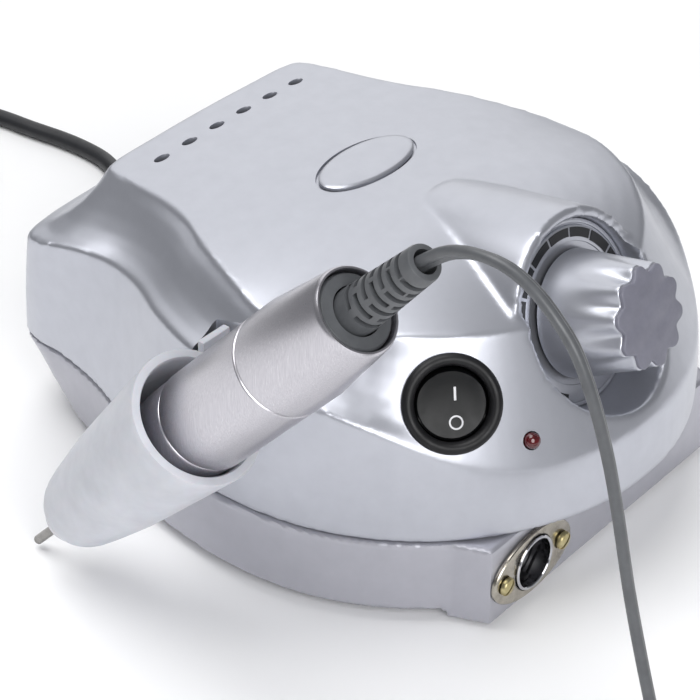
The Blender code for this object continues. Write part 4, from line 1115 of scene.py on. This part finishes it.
# ------------------------------------------------------------------ sockets and rear panel
class NAILDRILL_OT_hand_socket(Operator):
    """Round five-pin hand socket with its oval flange and two screws"""
    bl_idname = "naildrill.hand_socket"
    bl_label = "Hand socket"
    bl_options = {"REGISTER", "UNDO"}

    def execute(self, context):
        at = placed(DIN_AT, (0, -1, 0))
        flange = turned("hand_socket_flange", [(15.2, GAP), (15.2, 0.95), (14.9, 1.3)], at, 96, squeeze=0.566)
        combine(flange, turned("bore", [(7.3, -5), (7.3, 5)], at, 64))
        screws = []
        for side in (-1, 1):
            place = placed(DIN_AT + Vector((side * DIN_PITCH / 2, 0, 0)), (0, -1, 0))
            combine(flange, turned("bore", [(1.35, -5), (1.35, 5)], place, 32))
            screw = turned("screw", [(1.05, -6.0), (1.05, 1.6), (2.3, 1.6), (2.3, 2.1), (2.0, 2.6),
                                     (1.3, 2.9), (0.5, 3.0)], place, 40)
            combine(screw, block("slot", (-2.6, -0.28, 2.2), (2.6, 0.28, 4),
                                 place @ Matrix.Rotation(0.7, 4, "Z")))
            screws.append(screw)
        soften(flange, 0.12)
        carry(flange, "nickel", "root", ["din_flange"])
        carry(merged("hand_socket_screws", screws), "brass", "root", ["din_screw_1", "din_screw_2"])
        rim = turned("hand_socket_rim", [(6.2, -7.0), (7.0, -7.0), (7.0, 1.7), (6.85, 1.9), (6.35, 1.9),
                                         (6.2, 1.7)], at,
                     96, ring=True)
        carry(rim, "chrome", "root", ["din_shell"])
        wafer = turned("hand_socket_wafer", [(5.9, -7.0), (5.9, -3.6), (5.7, -3.4)], at, 64)
        for k in range(5):
            a = radians(-90 + 45 * k)
            combine(wafer, turned("pin_hole", [(0.7, -5.5), (0.7, -3.7), (0.95, -3.2)],
                                  at @ Matrix.Translation((3.6 * sin(a), -3.6 * cos(a), 0)), 20))
        key = block("key", (-0.9, -6.1, -6.5), (0.9, -4.9, -0.5), at, 0.2)
        combine(wafer, key, "UNION")
        carry(wafer, "black", "root", ["din_insulator"])
        return {"FINISHED"}


class NAILDRILL_OT_rear_fittings(Operator):
    """Direction switch, pedal jack and fuse holder on the rear"""
    bl_idname = "naildrill.rear_fittings"
    bl_label = "Rear fittings"
    bl_options = {"REGISTER", "UNDO"}

    def execute(self, context):
        lean = direction_place()
        body = block("direction_switch_body", (-6.4, -9.4, -12.0), (6.4, 9.4, -0.6), lean, 0.35)
        combine(body, block("well", (-4.9, -7.4, -9.0), (4.9, 7.4, 3), lean))
        carry(body, "black", "root", ["direction_switch"])
        bm = bmesh.new()
        side = [(-6.4, -2), (-6.4, 3.5), (-6.2, 3.75), (-3, 2.9), (0, 2.7), (3, 3.5), (6.1, 4.95), (6.4, 4.8),
                (6.4, -2)]
        faces = [[bm.verts.new((x, y, z)) for y, z in side] for x in (-4.5, 4.5)]
        bm.faces.new(faces[0])
        bm.faces.new(faces[1][::-1])
        for i in range(len(side)):
            j = (i + 1) % len(side)
            bm.faces.new((faces[0][i], faces[0][j], faces[1][j], faces[1][i]))
        paddle = from_mesh("direction_paddle", bm)
        soften(paddle, 0.25, 2, 50)
        paddle.data.transform(lean @ Matrix.Translation((0, 0, -4.0)))
        carry(paddle, "rocker", "direction_rocker", ["direction_rocker"])
        jack = turned("pedal_jack_bush", [(1.9, -14), (3.5, -14), (3.5, 1.2), (5.4, 1.2), (5.4, 2.4),
                                          (5.0, 3.0), (2.4, 3.0), (1.9, 2.5)], rear(JACK), 64, ring=True)
        carry(jack, "black", "root", ["pedal_jack"])
        holder = turned("fuse_holder_body", [(6.0, -16), (6.0, 0.8), (7.6, 0.8), (7.6, 2.2), (7.2, 2.6),
                                             (4.9, 2.6),
                                             (4.9, -14), (0.6, -14), (0.6, -16)], rear(FUSE), 64, ring=True)
        carry(holder, "black", "root", ["fuse_holder"])
        cap = turned("fuse_holder_cap", [(4.6, -2.0), (4.6, 3.4), (4.35, 4.1), (3.9, 4.4), (0.6, 4.4)],
                     rear(FUSE), 64)
        combine(cap, block("slot", (-3.4, -0.5, 3.5), (3.4, 0.5, 6), rear(FUSE)))
        carry(cap, "black", "root", ["fuse_cap"])
        return {"FINISHED"}


class NAILDRILL_OT_inside(Operator):
    """Finishes of the transformer, board and the parts inside the handpiece"""
    bl_idname = "naildrill.inside"
    bl_label = "Inside parts"
    bl_options = {"REGISTER", "UNDO"}

    def execute(self, context):
        refinish("laminations", "transformer_core")
        refinish("copper", "transformer_winding", "motor_armature")
        refinish("board", "circuit_board")
        refinish("black", "capacitor")
        refinish("steel", "heatsink", "motor_can", "spindle", "holder_screw")
        refinish("chrome", "bearing_1", "bearing_2")
        return {"FINISHED"}


# ------------------------------------------------------------------ handpiece and holder
class NAILDRILL_OT_holder(Operator):
    """Frosted cup that holds the handpiece, the ferrule on its tip, and its arm on the housing"""
    bl_idname = "naildrill.holder"
    bl_label = "Holder"
    bl_options = {"REGISTER", "UNDO"}

    def execute(self, context):
        length = CUP_MOUTH - CUP_FROM
        outer = [(4.4, 0), (6.4, 0), (7.4, 0.5), (8.3, 1.3), (9.1, 2.6), (9.8, 4.3), (10.4, 6.5), (11.2, 11),
                 (12.2, 18), (13.3, 26), (14.3, 38), (15.3, 50), (16.1, 60.5), (16.2, 61.9), (16.0, 62.4),
                 (15.6, 62.5)]
        inner = [(14.2, length), (13.9, 62.1), (13.8, 61.5), (12.6, 45), (11.2, 28), (9.9, 18), (8.8, 10),
                 (7.2, 5.0), (4.4, 2.2)]
        cup = turned("holder_cup_shell", outer + inner, cup_place(), 128, ring=True)
        inward = placed((-70.4, 2.0, 48.9), (-1, 0, 0))
        combine(cup, turned("hole", [(1.5, -6), (1.5, 8)], inward, 32))
        carry(cup, "cup", "root", ["holder_cup"], 40)
        levels = [(4.6, -0.05), (4.6, -3.0), (4.9, -3.4), (5.6, -3.4), (6.1, -2.9), (6.3, -1.9), (6.3, -0.05)]
        carry(turned("holder_ferrule", levels, cup_place(), 96, ring=True), "chrome", "root")
        arm = block("holder_bracket", (-74.0, -5, 42), (-71.8, 8.6, 63), edge=0.5)
        combine(arm, block("tongue", (-73.5, -3.5, 60), (-61, 8, 62.8), edge=0.5), "UNION")
        combine(arm, block("hook", (-64.6, -3, 57), (-62, 7.5, 62), edge=0.4), "UNION")
        combine(arm, block("fin", (-73, 4, 61), (-64, 6, 68), edge=0.4), "UNION")
        combine(arm, turned("hole", [(1.5, -6), (1.5, 8)], inward, 32))
        carry(arm, "cup", "root", ["holder_arm"])
        return {"FINISHED"}


class NAILDRILL_OT_handpiece(Operator):
    """Satin handpiece: barrel, twist sleeve, nose, collet, bit, rear cap and slotted boot"""
    bl_idname = "naildrill.handpiece"
    bl_label = "Handpiece"
    bl_options = {"REGISTER", "UNDO"}

    def execute(self, context):
        place = hand_place()
        r = HAND_R
        levels = [(10.6, 84), (r - 0.5, 84), (r - 0.15, 84.15), (r, 84.5), (r, 116.4), (r - 0.12, 116.6),
                  (r - 0.35, 116.75), (r - 0.35, 117.25), (r - 0.12, 117.4), (r, 117.6), (r, 126),
                  (11.0, 135.2),
                  (9.98, 145.2), (9.8, 145.9), (9.5, 146.3), (9.1, 146.3), (9.0, 146.0), (9.0, 138),
                  (10.6, 124)]
        carry(turned("handpiece_barrel", levels, place, 128, ring=True), "barrel", "handpiece",
              ["barrel"], 25)
        levels = [(7.2, 50), (8.7, 50), (8.9, 50.3), (9.15, 54), (9.6, 60), (10.35, 65), (11.2, 70),
                  (11.7, 75), (11.7, 82.9), (11.55, 83.4), (11.2, 83.7), (10.4, 83.7), (7.2, 83.7)]
        carry(turned("handpiece_twist_sleeve", levels, place, 128, ring=True), "barrel", "twist_sleeve",
              ["twist_sleeve"], 30)
        levels = [(3.3, 13.5), (3.6, 13.5), (3.8, 13.8), (3.8, 17.2), (3.6, 17.4), (3.6, 17.9), (3.8, 18.1),
                  (3.8, 21.6), (4.5, 23.6), (5.4, 26), (7.0, 33), (8.1, 42), (8.35, 49.4), (8.1, 49.7),
                  (5.6, 49.7), (5.6, 28), (3.3, 22)]
        carry(turned("handpiece_nose", levels, place, 96, ring=True), "chrome", "handpiece",
              ["nose_cone"], 25)
        levels = [(1.4, 14.2), (2.6, 14.2), (2.9, 14.5), (2.9, 21), (3.2, 24), (3.8, 29), (3.8, 36),
                  (1.4, 36)]
        jaws = turned("handpiece_collet", levels, place, 64, ring=True)
        for k in range(2):
            combine(jaws, block("split", (-0.2, -4, 12), (0.2, 4, 26),
                                place @ Matrix.Rotation(pi / 2 * k, 4, "Z")))
        carry(jaws, "steel", "spindle", ["collet"])
        levels = [(0.95, 0.0), (1.15, 0.2), (1.175, 0.6), (1.175, 34)]
        carry(turned("bit_shank", levels, place, 48), "steel", "spindle", ["bit"])
        levels = [(5.5, 139), (8.7, 139), (8.7, 144.6), (8.5, 145.3), (8.1, 145.7), (5.6, 145.8)]
        carry(turned("handpiece_rear_cap", levels, place, 96, ring=True), "grey", "handpiece",
              ["rear_cap"])
        rows = context.scene.drill_sizes.slots
        levels = [(2.7, 136), (5.2, 136), (5.2, 147.5)]
        levels += [(5.2 - 1.1 * t / 10, 148 + 2.18 * t) for t in range(11)]
        levels += [(3.9, 170.4), (3.5, BOOT_END), (2.7, BOOT_END)]
        boot = turned("handpiece_boot", levels, place, 96, ring=True)
        pitch = 19.6 / rows
        for k in range(rows):
            z = 149.3 + pitch * k
            for quarter in range(4):
                turn = Matrix.Rotation(radians(45 + 90 * quarter + 45 * (k % 2)), 4, "Z")
                combine(boot, block("slot", (-2.9, 2.9, z), (2.9, 7, z + pitch * 0.5), place @ turn))
        carry(boot, "grey", "handpiece", ["strain_relief"])
        return {"FINISHED"}


PIECES = (NAILDRILL_OT_stage, NAILDRILL_OT_handpiece_cord, NAILDRILL_OT_mains_lead, NAILDRILL_OT_top_shell,
          NAILDRILL_OT_base_tray, NAILDRILL_OT_badge, NAILDRILL_OT_speed_control, NAILDRILL_OT_power_switch,
          NAILDRILL_OT_hand_socket, NAILDRILL_OT_rear_fittings, NAILDRILL_OT_inside, NAILDRILL_OT_holder,
          NAILDRILL_OT_handpiece)


class NAILDRILL_PT_panel(Panel):
    """Lists the nail drill's pieces and settings"""
    bl_idname = "NAILDRILL_PT_panel"
    bl_label = "Nail drill"
    bl_space_type = "VIEW_3D"
    bl_region_type = "UI"
    bl_category = "Nail drill"

    def draw(self, context):
        layout = self.layout
        for group in (context.scene.drill_colours, context.scene.drill_sizes):
            box = layout.box()
            for key in group.bl_rna.properties.keys():
                if key not in {"rna_type", "name"}:
                    box.prop(group, key)
        for piece in PIECES:
            layout.operator(piece.bl_idname)


CLASSES = (DrillColours, DrillSizes, *PIECES, NAILDRILL_PT_panel)


def register():
    for cls in CLASSES:
        bpy.utils.register_class(cls)
    bpy.types.Scene.drill_colours = PointerProperty(type=DrillColours)
    bpy.types.Scene.drill_sizes = PointerProperty(type=DrillSizes)


def unregister():
    del bpy.types.Scene.drill_sizes
    del bpy.types.Scene.drill_colours
    for cls in reversed(CLASSES):
        bpy.utils.unregister_class(cls)


def main():
    register()
    for piece in PIECES:
        getattr(bpy.ops.naildrill, piece.bl_idname.split(".")[1])()


if __name__ == "__main__":
    main()
